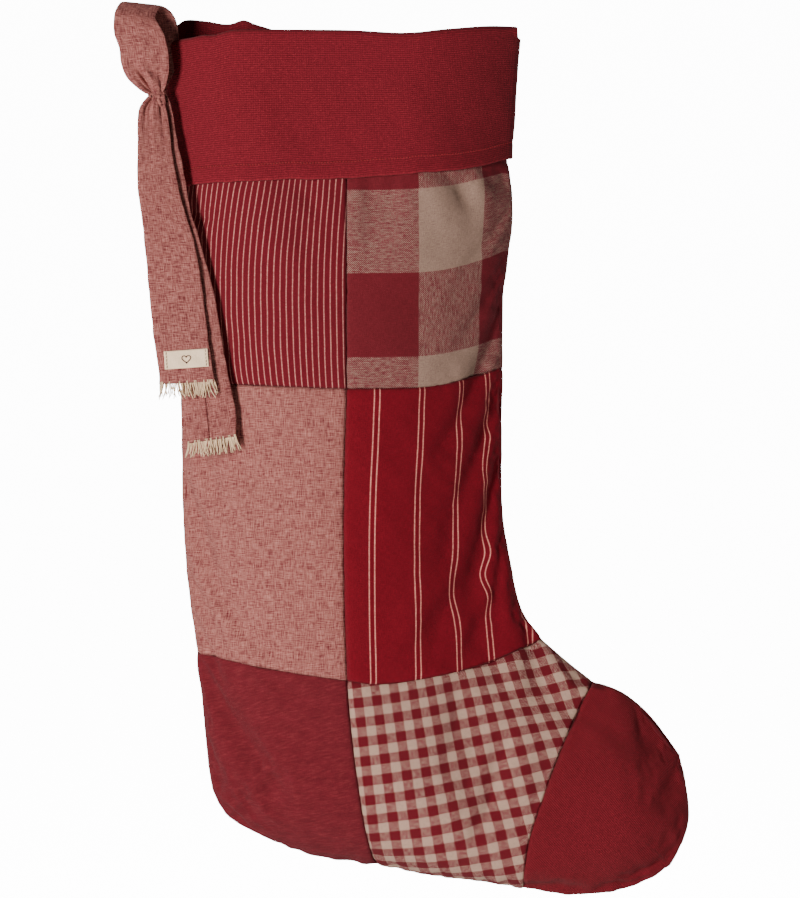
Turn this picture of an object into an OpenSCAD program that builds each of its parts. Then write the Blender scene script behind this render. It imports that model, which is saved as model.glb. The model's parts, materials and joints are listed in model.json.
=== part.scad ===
// Hanging patchwork stocking: seven front patches, a back panel, a lining, a turned-down cuff
// and a linen hanging strip that is gathered at the cuff's back edge into a loop and two tails.
// Millimetres, +Z up, toe towards +X, front towards -Y. The origin is the point inside the
// hanging loop that rests on a hook.

/* [Fabric] */
// Thickness of the patches and the back panel
shell_t = 1.2; // [0.8:0.1:1.6]
// Thickness of the lining
lining_t = 0.8; // [0.5:0.1:1.2]
// Thickness of the doubled cuff fabric
cuff_t = 1.6; // [1:0.1:2]
// Air between the shell and the cuff that is turned down over it
layer_gap = 1.2; // [1:0.1:1.4]
// Air between the shell and its lining
lining_gap = 3; // [2.5:0.1:3.5]
// Air between two patches along their seam
seam_gap = 0.4; // [0.2:0.1:0.8]
// Radius of the sewing thread
thread_r = 0.2; // [0.15:0.01:0.25]

/* [Filled shape] */
// Half the depth of the filled leg and foot
half_depth = 46; // [44:1:48]
// Share of that depth that the mouth opens to
mouth_share = 0.75; // [0.7:0.05:0.85]
// Share of that depth left at the tip of the toe
toe_share = 0.62; // [0.6:0.02:1]
// Distance in from the side seam at which the bulge is full
reach = 74; // [72:1:80]
// How sharply the shell turns at the side seam: 1 is a sine wave's slope, 0.5 nearly an ellipse
edge_power = 0.7; // [0.6:0.05:0.9]
// Distance of the stocking's middle plane behind the hook
mid_y = 22; // [21:1:24]

/* [Cuff] */
// Height of the hem stitching above the cuff's lower edge
hem_h = 12; // [8:1:20]
// Depth of the facing that turns down inside the mouth
facing_h = 30; // [20:1:45]

/* [Hanging strip] */
// Width of the strip
strip_w = 40; // [30:1:44]
// Thickness of the strip, which is a flattened tube
strip_t = 2.4; // [1.6:0.1:3]
// Width of the strip where it is gathered
gather_w = 13; // [10:1:16]
// Height of the loop from the gather to the hook
loop_h = 62; // [50:1:70]
// Half the gap between the loop's two layers
loop_gap = 13; // [12:0.5:14]
// Angle that the loop's front is turned towards the toe
loop_turn = 25; // [15:1:28]
// Angle that the loop leans away from the cuff
loop_lean = 7; // [0:1:12]
// Radius of the wrapped gather
gather_r = 6.5; // [5:0.5:7]
// Length of the fringe at the ends of the tails
fringe_l = 10; // [6:1:14]

/* [Label] */
// Width of the sewn label
label_w = 31; // [24:1:34]
// Height of the sewn label
label_h = 12; // [10:1:16]
// Thickness of the label
label_t = 0.5; // [0.3:0.1:0.8]

/* [Hidden] */

// The middle of the gather, which the loop and both tails turn about
gather = [loop_h * sin(loop_lean), 0, -loop_h * cos(loop_lean)];

// Where the seams meet the edges and each other, seen from the front as [x, z]
mouth_back = [15, -25];
mouth_front = [257.5, -18];
mouth_mid = [141, -16];
back_upper = [24, -260];
back_lower = [35, -451];
centre_upper = [141, -267];
centre_lower = [141, -471];
heel_corner = [58, -567];
sole_mid = [162, -599];
toe_sole = [264, -615];
toe_instep = [313, -471];
ankle = [278, -441];
front_upper = [249, -252];
tip_sole = [366, -599];
tip_instep = [372, -523];

// The edges and seams between those points
leg_back_upper = [mouth_back, [16, -70], [18, -120], [22, -200], back_upper];
leg_back_lower = [back_upper, [25, -320], [27, -385], back_lower];
heel_back = [back_lower, [39.5, -495], [44.5, -540], [50, -556], heel_corner];
heel_sole = [heel_corner, [72, -575], [94, -584], [124, -593], sole_mid];
sole = [sole_mid, [214, -608], toe_sole];
toe_under = [toe_sole, [283, -619], [298, -620], [338, -616], tip_sole];
toe_tip = [tip_sole, [376, -580], [378.5, -561], tip_instep];
toe_over = [tip_instep, [354, -496], [335, -479], toe_instep];
instep = [toe_instep, [296, -458], ankle];
leg_front_lower = [ankle, [263, -420], [254, -385], [249.5, -340], front_upper];
leg_front_upper = [front_upper, [250, -204], [256.5, -146], [255, -104], [256, -57], mouth_front];
mouth_left = [mouth_back, [55, -18], mouth_mid];
mouth_right = [mouth_mid, [168, -18], [220, -14], mouth_front];
centre_a = [mouth_mid, [141, -120], centre_upper];
centre_b = [centre_upper, [138.5, -344], [139, -414], centre_lower];
centre_c = [centre_lower, [145, -517], [152, -563], sole_mid];
upper_a = [back_upper, [62, -264], centre_upper];
upper_b = [centre_upper, [192, -266], [221, -261], front_upper];
lower_a = [back_lower, [80, -462], centre_lower];
lower_b = [centre_lower, [171, -473], [227, -463], ankle];
toe_seam = [toe_instep, [298, -504], [281, -545], [267, -586], toe_sole];
hem_mid = [142, -119];
hem_left = [[17, -126], [90, -120], hem_mid];
hem_right = [hem_mid, [190, -116], [230, -112], [255, -104]];

// A smooth curve through the points p
curve_steps = 6;
function curve_point(p, i, t) =
    let (a = p[max(i - 1, 0)], b = p[i], c = p[i + 1], d = p[min(i + 2, len(p) - 1)])
    (2 * b + (c - a) * t + (2 * a - 5 * b + 4 * c - d) * t * t
     + (3 * b - a - 3 * c + d) * t * t * t) / 2;
function curve(p) = concat(
    [for (i = [0 : len(p) - 2], k = [0 : curve_steps - 1]) curve_point(p, i, k / curve_steps)],
    [p[len(p) - 1]]);

// How far along a line each of its points lies
function distances(c) =
    [for (i = 0, s = 0; i < len(c); s = s + (i + 1 < len(c) ? norm(c[i + 1] - c[i]) : 0), i = i + 1) s];

// n steps of equal length along the smooth curve through p
function even(p, n) =
    let (c = curve(p), s = distances(c), axes = [for (k = [0 : len(c[0]) - 1]) k])
    [for (j = [0 : n])
        let (d = s[len(s) - 1] * j / n)
        [for (k = axes) lookup(d, [for (i = [0 : len(c) - 1]) [s[i], c[i][k]]])]];
function reversed(c) = [for (i = [len(c) - 1 : -1 : 0]) c[i]];
function joined(a, b) = concat(a, [for (i = [1 : len(b) - 1]) b[i]]);

// A grid of points between four edges that meet at their ends: rows run from left to right
function grid(top, bottom, left, right) =
    let (n = len(top) - 1, m = len(left) - 1)
    [for (j = [0 : m]) let (v = j / m) [for (i = [0 : n]) let (u = i / n)
        (1 - v) * top[i] + v * bottom[i] + (1 - u) * left[j] + u * right[j]
        - (1 - v) * ((1 - u) * top[0] + u * top[n]) - v * ((1 - u) * bottom[0] + u * bottom[n])]];

// The side seam, from the mouth down the back of the leg, round the foot and up to the mouth
seam_steps = 12;
side_seam = joined(joined(joined(joined(joined(joined(joined(joined(joined(
    even(leg_back_upper, seam_steps), even(leg_back_lower, seam_steps)),
    even(heel_back, seam_steps)), even(heel_sole, seam_steps)), even(sole, seam_steps)),
    even(toe_under, seam_steps)), even(toe_tip, seam_steps)), even(toe_over, seam_steps)),
    even(concat(instep, [for (i = [1 : 4]) leg_front_lower[i]]), 2 * seam_steps)),
    even(leg_front_upper, seam_steps));

// The distance from p to the side seam, and the direction straight away from the seam
function closest(p, a, b) = a + (b - a) * max(0, min(1, (p - a) * (b - a) / ((b - a) * (b - a))));
function from_seam(p) =
    let (feet = [for (i = [0 : len(side_seam) - 2]) closest(p, side_seam[i], side_seam[i + 1])],
         gaps = [for (q = feet) norm(p - q)],
         d = min(gaps),
         k = search(d, gaps)[0],
         along = side_seam[k + 1] - side_seam[k])
    [d, d > 1 ? (p - feet[k]) / d : [-along.y, along.x] / norm(along)];

// Half the depth at [x, z]: less at the mouth than below the cuff, and less towards the tip of the toe
full_depth_z = -190;
toe_thins = [180, 300];
function eased(t) = let (s = max(0, min(1, t))) s * s * (3 - 2 * s);
function depth(p) =
    half_depth * (mouth_share + (1 - mouth_share) * eased(p.y / full_depth_z))
    * (1 - (1 - toe_share) * eased((p.x - toe_thins[0]) / (toe_thins[1] - toe_thins[0])));

// The point of the shell that is seen at p = [x, z], moved inwards by o; side is -1 in front
on_seam = 0.8;
function on_shell(p, o, side) =
    let (near = from_seam(p),
         a = 90 * min(near[0], reach) / reach,
         h = depth(p),
         at_seam = near[0] < on_seam,
         slope = at_seam ? 0 : edge_power * h * pow(sin(a), edge_power - 1) * cos(a) * PI / 2 / reach,
         n = at_seam ? [1, 0] : [slope, 1] / norm([slope, 1]),
         in = near[1] * o * n.x,
         rise = at_seam ? 0 : max(0, h * pow(sin(a), edge_power) - o * n.y))
    [p.x + in.x, mid_y + side * (rise + seam_gap / 2), p.y + in.y];
function skin(g, o, side) = [for (row = g) [for (p = row) on_shell(p, o, side)]];

// A closed sheet between two grids of points; turned swaps which way its faces look
module sheet(outer, inner, turned = false) {
    m = len(outer) - 1;
    n = len(outer[0]) - 1;
    count = (m + 1) * (n + 1);
    function at(j, i) = j * (n + 1) + i;
    skins = [for (j = [0 : m - 1], i = [0 : n - 1])
        each [[at(j, i), at(j, i + 1), at(j + 1, i + 1)], [at(j, i), at(j + 1, i + 1), at(j + 1, i)]]];
    border = concat(
        [for (i = [0 : n - 1]) at(0, i)], [for (j = [0 : m - 1]) at(j, n)],
        [for (i = [n : -1 : 1]) at(m, i)], [for (j = [m : -1 : 1]) at(j, 0)]);
    rim = [for (k = [0 : len(border) - 1])
        let (a = border[k], b = border[(k + 1) % len(border)])
        each [[b, a, a + count], [b, a + count, b + count]]];
    faces = concat(skins, [for (f = skins) [f[2] + count, f[1] + count, f[0] + count]], rim);
    polyhedron(
        [each for (row = outer) row, each for (row = inner) row],
        turned ? faces : [for (f = faces) [f[2], f[1], f[0]]], convexity = 6);
}

// A round thread along the 3D points of a path; across is a direction that the path never takes
module thread(path, r, across = [0, 1, 0], closed = false) {
    sides = 6;
    n = len(path);
    function direction(i) = closed ? path[(i + 1) % n] - path[(i + n - 1) % n]
        : path[min(i + 1, n - 1)] - path[max(i - 1, 0)];
    rings = [for (i = [0 : n - 1])
        let (d = direction(i), s = cross(d, across) / norm(cross(d, across)), t = cross(s, d) / norm(d))
        [for (k = [0 : sides - 1]) path[i] + r * (s * cos(k * 360 / sides) + t * sin(k * 360 / sides))]];
    last = closed ? n - 1 : n - 2;
    walls = [for (i = [0 : last], k = [0 : sides - 1])
        let (a = i * sides + k, b = i * sides + (k + 1) % sides,
             c = ((i + 1) % n) * sides + (k + 1) % sides, d = ((i + 1) % n) * sides + k)
        each [[a, b, c], [a, c, d]]];
    ends = closed ? [] : [
        [for (k = [sides - 1 : -1 : 0]) k],
        [for (k = [0 : sides - 1]) (n - 1) * sides + k]];
    polyhedron([each for (ring = rings) ring], concat(walls, ends), convexity = 6);
}

// Front patches: each is a grid between its own edges, drawn in from its seams by half the gap
patch_n = 12;
function drawn_in(g) =
    let (m = len(g) - 1, n = len(g[0]) - 1, s = seam_gap / 2)
    [for (j = [0 : m]) [for (i = [0 : n])
        let (across = g[j][min(i + 1, n)] - g[j][max(i - 1, 0)],
             down = g[min(j + 1, m)][i] - g[max(j - 1, 0)][i])
        g[j][i] + s * ((i == 0 ? 1 : i == n ? -1 : 0) * across / norm(across)
            + (j == 0 ? 1 : j == m ? -1 : 0) * down / norm(down))]];
module patch_between(top, bottom, left, right) {
    g = drawn_in(grid(top, bottom, left, right));
    sheet(skin(g, 0, -1), skin(g, shell_t, -1));
}
module patch(top, bottom, left, right) {
    patch_between(even(top, patch_n), even(bottom, patch_n), even(left, patch_n), even(right, patch_n));
}

module pinstripe_patch() {
    color([0.5, 0.1, 0.13]) patch(mouth_left, upper_a, leg_back_upper, centre_a);
}
module big_check_patch() {
    color([0.62, 0.42, 0.36]) patch(mouth_right, upper_b, centre_a, reversed(leg_front_upper));
}
module chambray_patch() {
    color([0.68, 0.42, 0.4]) patch(upper_a, lower_a, leg_back_lower, centre_b);
}
module double_stripe_patch() {
    color([0.55, 0.07, 0.1]) patch(upper_b, lower_b, centre_b, reversed(leg_front_lower));
}
module heel_patch() {
    color([0.47, 0.12, 0.14]) patch(lower_a, heel_sole, heel_back, centre_c);
}
instep_steps = 3;
module gingham_patch() {
    top = joined(even(lower_b, patch_n), even(reversed(instep), instep_steps));
    color([0.65, 0.45, 0.42]) patch_between(
        top, even(sole, patch_n + instep_steps), even(centre_c, patch_n), even(toe_seam, patch_n));
}
module toe_patch() {
    color([0.47, 0.1, 0.12]) patch(reversed(toe_over), toe_under, toe_seam, reversed(toe_tip));
}

// Whole panels: rows run across the leg, fan round the heel and end at the toe's tip
leg_rows = 10;
heel_rows = 5;
heel_sole_rows = 4;
sole_rows = 5;
toe_rows = 4;
panel_columns = 16;
panel_back = joined(joined(joined(joined(joined(
    even(leg_back_upper, leg_rows), even(leg_back_lower, leg_rows)), even(heel_back, heel_rows)),
    even(heel_sole, heel_sole_rows)), even(sole, sole_rows)), even(toe_under, toe_rows));
panel_front = joined(joined(joined(
    even(reversed(leg_front_upper), leg_rows), even(reversed(leg_front_lower), leg_rows)),
    even(reversed(instep), heel_rows + heel_sole_rows + sole_rows)), even(reversed(toe_over), toe_rows));
panel_grid = grid(
    joined(even(mouth_left, panel_columns / 2), even(mouth_right, panel_columns / 2)),
    even(reversed(toe_tip), panel_columns), panel_back, panel_front);
module panel(o, t, side) {
    sheet(skin(panel_grid, o, side), skin(panel_grid, o + t, side), side > 0);
}
lining_o = shell_t + lining_gap;
module back_panel() { color([0.45, 0.09, 0.11]) panel(0, shell_t, 1); }
module lining_front() { color([0.38, 0.08, 0.1]) panel(lining_o, lining_t, -1); }
module lining_back() { color([0.38, 0.08, 0.1]) panel(lining_o, lining_t, 1); }

// The cuff: a flap outside the shell, folded over the mouth's edge to a facing inside it
cuff_columns = 24;
flap_rows = 6;
facing_rows = 2;
cuff_o = -layer_gap - cuff_t;
facing_o = lining_o + lining_t + layer_gap;
facing_t = cuff_t / 2;
function lerp(a, b, t) = a + (b - a) * t;
function across_cuff(left, right) =
    joined(even(left, cuff_columns / 2), even(right, cuff_columns / 2));
cuff_top = across_cuff(mouth_left, mouth_right);
cuff_hem = across_cuff(hem_left, hem_right);

// The cuff's points moved down by h, squeezed so that they still reach from side seam to side seam
function edge_x(p, z) = let (c = curve(p)) lookup(-z, [for (q = c) [-q.y, q.x]]);
back_edge = leg_back_upper;
front_edge = reversed(leg_front_upper);
function below_top(h) =
    let (x0 = edge_x(back_edge, mouth_back.y - h), x1 = edge_x(front_edge, mouth_front.y - h))
    [for (p = cuff_top)
        [lerp(x0, x1, (p.x - mouth_back.x) / (mouth_front.x - mouth_back.x)), p.y - h]];
function cuff_skin(flap_o, inside_o, rise, side) =
    concat(
        [for (j = [0 : flap_rows]) [for (i = [0 : cuff_columns])
            on_shell(lerp(cuff_hem[i], cuff_top[i], j / flap_rows), flap_o, side)]],
        [for (t = [0.25, 0.5, 0.75]) [for (p = cuff_top)
            on_shell(p, lerp(flap_o, inside_o, t), side) + [0, 0, rise * sin(180 * t)]]],
        [for (j = [0 : facing_rows]) [for (p = below_top(facing_h * j / facing_rows))
            on_shell(p, inside_o, side)]]);
module cuff(side) {
    sheet(cuff_skin(cuff_o, facing_o + facing_t, layer_gap + cuff_t, side),
        cuff_skin(-layer_gap, facing_o, layer_gap, side), side < 0);
}
module cuff_front() { color([0.57, 0.14, 0.17]) cuff(-1); }
module cuff_back() { color([0.57, 0.14, 0.17]) cuff(1); }

// Threads: each row of sewing is one line of thread, just inside the seam that it holds
thread_o = shell_t + 2 * thread_r;
function seam_path(p, o = thread_o) = [for (q = even(p, patch_n)) on_shell(q, o, -1)];
thread_color = [0.4, 0.08, 0.1];
module cuff_hem_thread() {
    raised = [for (i = [0 : cuff_columns])
        lerp(cuff_hem[i], cuff_top[i], hem_h / norm(cuff_top[i] - cuff_hem[i]))];
    over = cuff_o - 2 * thread_r;
    color([0.7, 0.2, 0.22]) thread(concat(
        [for (p = raised) on_shell(p, over, -1)],
        [for (p = reversed(raised)) on_shell(p, over, 1)]), thread_r, [0, 0, 1], true);
}
module side_seam_thread() {
    inside = [for (q = side_seam) on_shell(q, shell_t + 0.4, -1)];
    color(thread_color) thread([for (q = inside) [q.x, mid_y, q.z]], thread_r);
}
module centre_seam_thread() {
    o = thread_o + 3 * thread_r;
    color(thread_color) thread(
        joined(joined(seam_path(centre_a, o), seam_path(centre_b, o)), seam_path(centre_c, o)), thread_r);
}
module upper_seam_thread() {
    color(thread_color) thread(joined(seam_path(upper_a), seam_path(upper_b)), thread_r, [0, 0, 1]);
}
module lower_seam_thread() {
    color(thread_color) thread(joined(seam_path(lower_a), seam_path(lower_b)), thread_r, [0, 0, 1]);
}
module toe_seam_thread() {
    color(thread_color) thread(seam_path(toe_seam), thread_r);
}

// The gather, where the strip is wrapped and tacked to the cuff's back edge
wrap_r = 2.2;
module gather_wrap() {
    color([0.68, 0.42, 0.4]) translate(gather) rotate([0, loop_lean, 0])
        rotate_extrude($fn = 48) translate([gather_r - wrap_r, 0]) circle(wrap_r, $fn = 24);
}
module anchor_thread() {
    cuff_point = on_shell([mouth_back.x + 7, gather.z], cuff_o, -1);
    reach_in = cuff_point - gather;
    color([0.6, 0.3, 0.3]) for (dz = [-1.2, 0, 1.2]) {
        start = gather_r - wrap_r + sqrt(wrap_r * wrap_r - dz * dz) + 0.35;
        translate(gather + [0, 0, dz] + reach_in * start / norm(reach_in))
            rotate([0, acos(reach_in.z / norm(reach_in)), atan2(reach_in.y, reach_in.x)])
                cylinder(r = thread_r, h = norm(reach_in) - start - 0.1, $fn = 16);
    }
}

// A strip along a path of [across, depth, height] points, each with its own half width
clear = gather_r + 2;
function strip_normal(path, i) =
    let (d = path[min(i + 1, len(path) - 1)] - path[max(i - 1, 0)]) [d.z, -d.y] / norm([d.y, d.z]);
function strip_side(path, halves, o) =
    [for (i = [0 : len(path) - 1]) let (n = strip_normal(path, i))
        [for (k = [-1, 1]) path[i] + [k * halves[i], o * n.x, o * n.y]]];
module strip(path, halves) {
    sheet(strip_side(path, halves, strip_t / 2), strip_side(path, halves, -strip_t / 2));
}

// Half the strip's width at distance r from the gather, where it is bunched
spread_r = 55;
function half_width(r) =
    let (s = max(0, min(1, (r - clear) / spread_r)))
    lerp(gather_w, strip_w, s * s * (3 - 2 * s)) / 2;

module hanging_loop() {
    top = loop_h + strip_t / 2;
    ring = even([
        [0, -3, clear], [0, -loop_gap * 0.75, loop_h * 0.36], [0, -loop_gap, loop_h * 0.66],
        [0, -loop_gap * 0.72, loop_h * 0.9], [0, 0, top], [0, loop_gap * 0.72, loop_h * 0.9],
        [0, loop_gap, loop_h * 0.66], [0, loop_gap * 0.75, loop_h * 0.36], [0, 3, clear]], 32);
    color([0.68, 0.42, 0.4]) translate(gather) rotate([0, -loop_lean, 0]) rotate([0, 0, -loop_turn])
        strip(ring, [for (p = ring) half_width(p.z)]);
}

// The tails' middle lines, from below the gather to the fringe
front_line = [[8, -5, -70], [8, -9.5, -84], [9, -14, -100], [12, -18, -134], [17, -20.5, -162],
    [21, -23, -197], [26, -25.5, -232], [30, -27, -264]];
rear_line = [[9, -0.5, -70], [12, -5, -84], [15, -9, -100], [20, -13, -134], [24, -15.5, -162],
    [32, -18, -197], [39, -21, -240], [46, -24, -303]];
tail_steps = 20;
function tail_path(line) = even(line, tail_steps);
function tail_halves(path) = [for (p = path) half_width(gather.z - p.z)];
module tail(line) {
    path = tail_path(line);
    color([0.68, 0.42, 0.4]) strip(path, tail_halves(path));
}
module front_tail() { tail(front_line); }
module rear_tail() { tail(rear_line); }

// A fringe: bundles of loose threads below a tail's end
bundle_w = 1.6;
module fringe(line) {
    end = line[len(line) - 1];
    count = floor(strip_w / (2 * bundle_w));
    color([0.85, 0.78, 0.68]) for (i = [0 : count - 1])
        translate(end + [(i + 0.5) * strip_w / count - strip_w / 2 - bundle_w / 2, -bundle_w / 2,
            -fringe_l - 0.1])
            cube([bundle_w, bundle_w, fringe_l]);
}
module front_tail_fringe() { fringe(front_line); }
module rear_tail_fringe() { fringe(rear_line); }
module rear_tail_seam() {
    path = tail_path(rear_line);
    color([0.4, 0.15, 0.16])
        thread([for (i = [tail_steps - 4 : tail_steps]) path[i] - [0, strip_t / 2 + 2 * thread_r, 0]],
            thread_r);
}

// The label on the front tail, held by a row of stitches at each end
label_z = -246;
label_tilt = -4;
label_x = lookup(-label_z, [for (p = front_line) [-p.z, p.x]]);
label_y = lookup(-label_z, [for (p = front_line) [-p.z, p.y]]) - strip_t / 2 - 0.5;
module on_label(lift) {
    translate([label_x, label_y - lift, label_z]) rotate([0, label_tilt, 0]) children();
}
module label() {
    color([0.88, 0.82, 0.73]) on_label(label_t)
        translate([-label_w / 2, 0, -label_h / 2]) cube([label_w, label_t, label_h]);
}
module label_stitches() {
    count = 4;
    inset = 1.8;
    stitch_l = 1.6;
    color([0.6, 0.48, 0.38]) on_label(label_t + 0.3) for (s = [-1, 1], k = [0 : count - 1])
        translate([s * (label_w / 2 - inset) - 0.25, 0, (k + 0.5) * label_h / count - label_h / 2 - stitch_l / 2])
            cube([0.5, 0.25, stitch_l]);
}
module label_motif() {
    lobe = 1.6;
    color([0.25, 0.2, 0.2]) on_label(label_t + 0.05) rotate([90, 0, 0]) linear_extrude(0.25) {
        for (s = [-1, 1]) translate([s * lobe * 0.9, lobe]) circle(lobe, $fn = 24);
        polygon([[-2.45 * lobe + 0.1, lobe * 0.6], [2.45 * lobe - 0.1, lobe * 0.6], [0, -2 * lobe]]);
    }
}

pinstripe_patch();
big_check_patch();
chambray_patch();
double_stripe_patch();
heel_patch();
gingham_patch();
toe_patch();
back_panel();
lining_front();
lining_back();
cuff_front();
cuff_back();
cuff_hem_thread();
side_seam_thread();
centre_seam_thread();
upper_seam_thread();
lower_seam_thread();
toe_seam_thread();
gather_wrap();
anchor_thread();
hanging_loop();
front_tail();
front_tail_fringe();
label();
label_stitches();
label_motif();
rear_tail();
rear_tail_fringe();
rear_tail_seam();
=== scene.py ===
"""A hanging patchwork stocking: its sewn cloth, hem, hanging loop and fringed tails.

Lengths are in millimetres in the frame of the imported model: +Z up, the toe towards +X and the
patchwork front towards -Y. Meshes are made in metres.
"""

import json
import math

import bpy
import numpy as np
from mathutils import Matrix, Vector


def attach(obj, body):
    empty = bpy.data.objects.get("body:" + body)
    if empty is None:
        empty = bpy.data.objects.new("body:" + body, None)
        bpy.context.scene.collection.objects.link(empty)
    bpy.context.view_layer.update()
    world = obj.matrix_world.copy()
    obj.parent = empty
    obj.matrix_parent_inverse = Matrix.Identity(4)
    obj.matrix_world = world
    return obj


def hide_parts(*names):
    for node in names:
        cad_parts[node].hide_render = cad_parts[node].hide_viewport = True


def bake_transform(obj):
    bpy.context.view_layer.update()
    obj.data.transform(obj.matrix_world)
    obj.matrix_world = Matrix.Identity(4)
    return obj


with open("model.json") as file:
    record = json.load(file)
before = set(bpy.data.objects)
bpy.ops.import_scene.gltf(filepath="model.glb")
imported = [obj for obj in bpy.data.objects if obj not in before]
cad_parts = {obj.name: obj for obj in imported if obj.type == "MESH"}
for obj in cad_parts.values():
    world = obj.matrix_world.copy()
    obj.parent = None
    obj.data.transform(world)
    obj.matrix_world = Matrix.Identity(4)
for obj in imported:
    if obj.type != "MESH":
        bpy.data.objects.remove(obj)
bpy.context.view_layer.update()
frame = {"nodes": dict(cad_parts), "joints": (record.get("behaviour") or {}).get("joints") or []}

MM = 0.001

# ---------------------------------------------------------------- the stocking's outline
MID_Y = 22  # the middle plane, in which the side seam lies
HALF_DEPTH = 46
MOUTH_SHARE = 0.75
FULL_DEPTH_Z = -190
REACH = 74
TOE_SHARE = 0.62
TOE_THINS = (180, 300)
TOE_SHORTER = 0.3
EDGE_POWER = 0.7

MOUTH_BACK = (15, -28)
MOUTH_FRONT = (259.7, -22)
MOUTH_MID = (141, -23)
BACK_UPPER = (24, -260)
BACK_LOWER = (35, -451)
CENTRE_UPPER = (141, -267)
CENTRE_LOWER = (141.4, -469)
HEEL_CORNER = (58, -567)
SOLE_MID = (162, -600)
TOE_SOLE = (264, -616)
TOE_INSTEP = (313, -471)
ANKLE = (278, -441)
FRONT_UPPER = (250.3, -252)
TIP_SOLE = (366.8, -600)
TIP_INSTEP = (374, -522.5)

LEG_BACK_UPPER = [MOUTH_BACK, (16, -70), (18, -120), (22, -200), BACK_UPPER]
LEG_BACK_LOWER = [BACK_UPPER, (25, -320), (27, -385), BACK_LOWER]
HEEL_BACK = [BACK_LOWER, (39.5, -495), (44.5, -540), (50, -556), HEEL_CORNER]
HEEL_SOLE = [HEEL_CORNER, (72, -574.3), (94, -584), (124, -593.3), SOLE_MID]
SOLE = [SOLE_MID, (214, -609.5), TOE_SOLE]
TOE_UNDER = [TOE_SOLE, (283, -619), (298, -620), (338, -616), TIP_SOLE]
TOE_TIP = [TIP_SOLE, (377.4, -580), (381, -558), TIP_INSTEP]
TOE_OVER = [TIP_INSTEP, (354, -496), (335, -479), TOE_INSTEP]
INSTEP = [TOE_INSTEP, (296, -458), ANKLE]
LEG_FRONT_LOWER = [ANKLE, (263, -420), (255, -385), (249.8, -340), FRONT_UPPER]
LEG_FRONT_UPPER = [FRONT_UPPER, (250.5, -204), (257.5, -146), (255.5, -117), (253, -101), (256.5, -57),
                   MOUTH_FRONT]
MOUTH_LEFT = [MOUTH_BACK, (55, -25), MOUTH_MID]
MOUTH_RIGHT = [MOUTH_MID, (168, -25), (220, -22), MOUTH_FRONT]
CENTRE_A = [MOUTH_MID, (141, -120), CENTRE_UPPER]
CENTRE_B = [CENTRE_UPPER, (139, -343.6), (139.5, -412.8), CENTRE_LOWER]
CENTRE_C = [CENTRE_LOWER, (145.4, -514.7), (152.3, -560.2), SOLE_MID]
UPPER_A = [BACK_UPPER, (62, -264), CENTRE_UPPER]
UPPER_B = [CENTRE_UPPER, (192, -266), (222, -261), FRONT_UPPER]
LOWER_A = [BACK_LOWER, (81, -460.2), CENTRE_LOWER]
LOWER_B = [CENTRE_LOWER, (171, -471), (226.5, -461), ANKLE]
TOE_SEAM = [TOE_INSTEP, (297.2, -502.6), (280.3, -543.4), (266.4, -584), TOE_SOLE]

# The cuff's edges, seen from the front
CUFF_TOP_FRONT = [(13, -25.5), (24.5, -23.8), (33, -22.8), (41, -21.4), (48, -21.6), (54.5, -20), (64, -18.4),
                  (97, -18.4), (141, -18.8), (180, -20.6), (209, -17.6), (239, -14.6), (258, -15)]
CUFF_TOP_BACK = [(13, -22), (22, -11.5), (28, -8), (41, -8.5), (52, -10), (59, -9.6), (67, -6.8), (74, -9.4),
                 (84, -12.4), (94, -14.6), (141, -18), (209, -15), (239, -12.6), (258, -15)]
CUFF_HEM_FRONT = [(15, -126), (38, -123), (90, -121), (141, -120), (190, -116.5),
                  (225, -112.5), (245, -108), (256, -104)]
CUFF_HEM_BACK = [(15, -126), (90, -118), (190, -110), (256, -104)]
HEM_STITCH_UP = 10

# The hanging strip's edges, and the depth of its middle line, against height
GATHER = tuple(frame["joints"][0]["pos_m"][k] / MM for k in range(3))
STRIP_WIDTH = 40
FRONT_TAIL_LEFT = [(3, -64), (-3.5, -71.4), (-4.4, -80), (-4.4, -100), (-4.4, -123), (-2.6, -139),
                   (0.4, -162), (6.2, -222), (10.9, -255), (11.2, -264)]
FRONT_TAIL_RIGHT = [(13, -64), (15, -72), (16.8, -80), (19.6, -101.5), (23.5, -123), (28.7, -144),
                    (34.3, -162), (39.9, -190), (44.5, -226), (46.9, -244), (49.7, -262)]
FRONT_TAIL_DEPTH = [(-64, -5), (-84, -10), (-100, -14), (-134, -18), (-162, -20.5), (-197, -23),
                    (-232, -25.5), (-266, -27)]
REAR_TAIL_LEFT = [(4, -62), (4, -80), (2, -110), (6, -140), (12, -175), (19, -215), (25, -255),
                  (31, -305)]
REAR_TAIL_RIGHT = [(15, -62), (18.9, -71.4), (22.4, -91), (28, -117.6), (32.9, -144), (38.5, -162),
                   (46.2, -190), (50.4, -208), (53.9, -229), (58.1, -253), (61.8, -271),
                   (64.3, -284), (64.3, -300)]
REAR_TAIL_DEPTH = [(-62, -1), (-84, -5), (-100, -9), (-134, -13), (-162, -15.5), (-197, -18),
                   (-240, -21), (-306, -24)]


# ---------------------------------------------------------------- curves, grids and noise
CROWDING = 0.62
SPAN_STEPS = 24


def between(a, b, c, d, t):
    """The smooth curve from b at t = 0 to c at t = 1, with a before it and d after it."""
    return (2 * b + (c - a) * t + (2 * a - 5 * b + 4 * c - d) * t**2
            + (3 * b - a - 3 * c + d) * t**3) / 2


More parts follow.
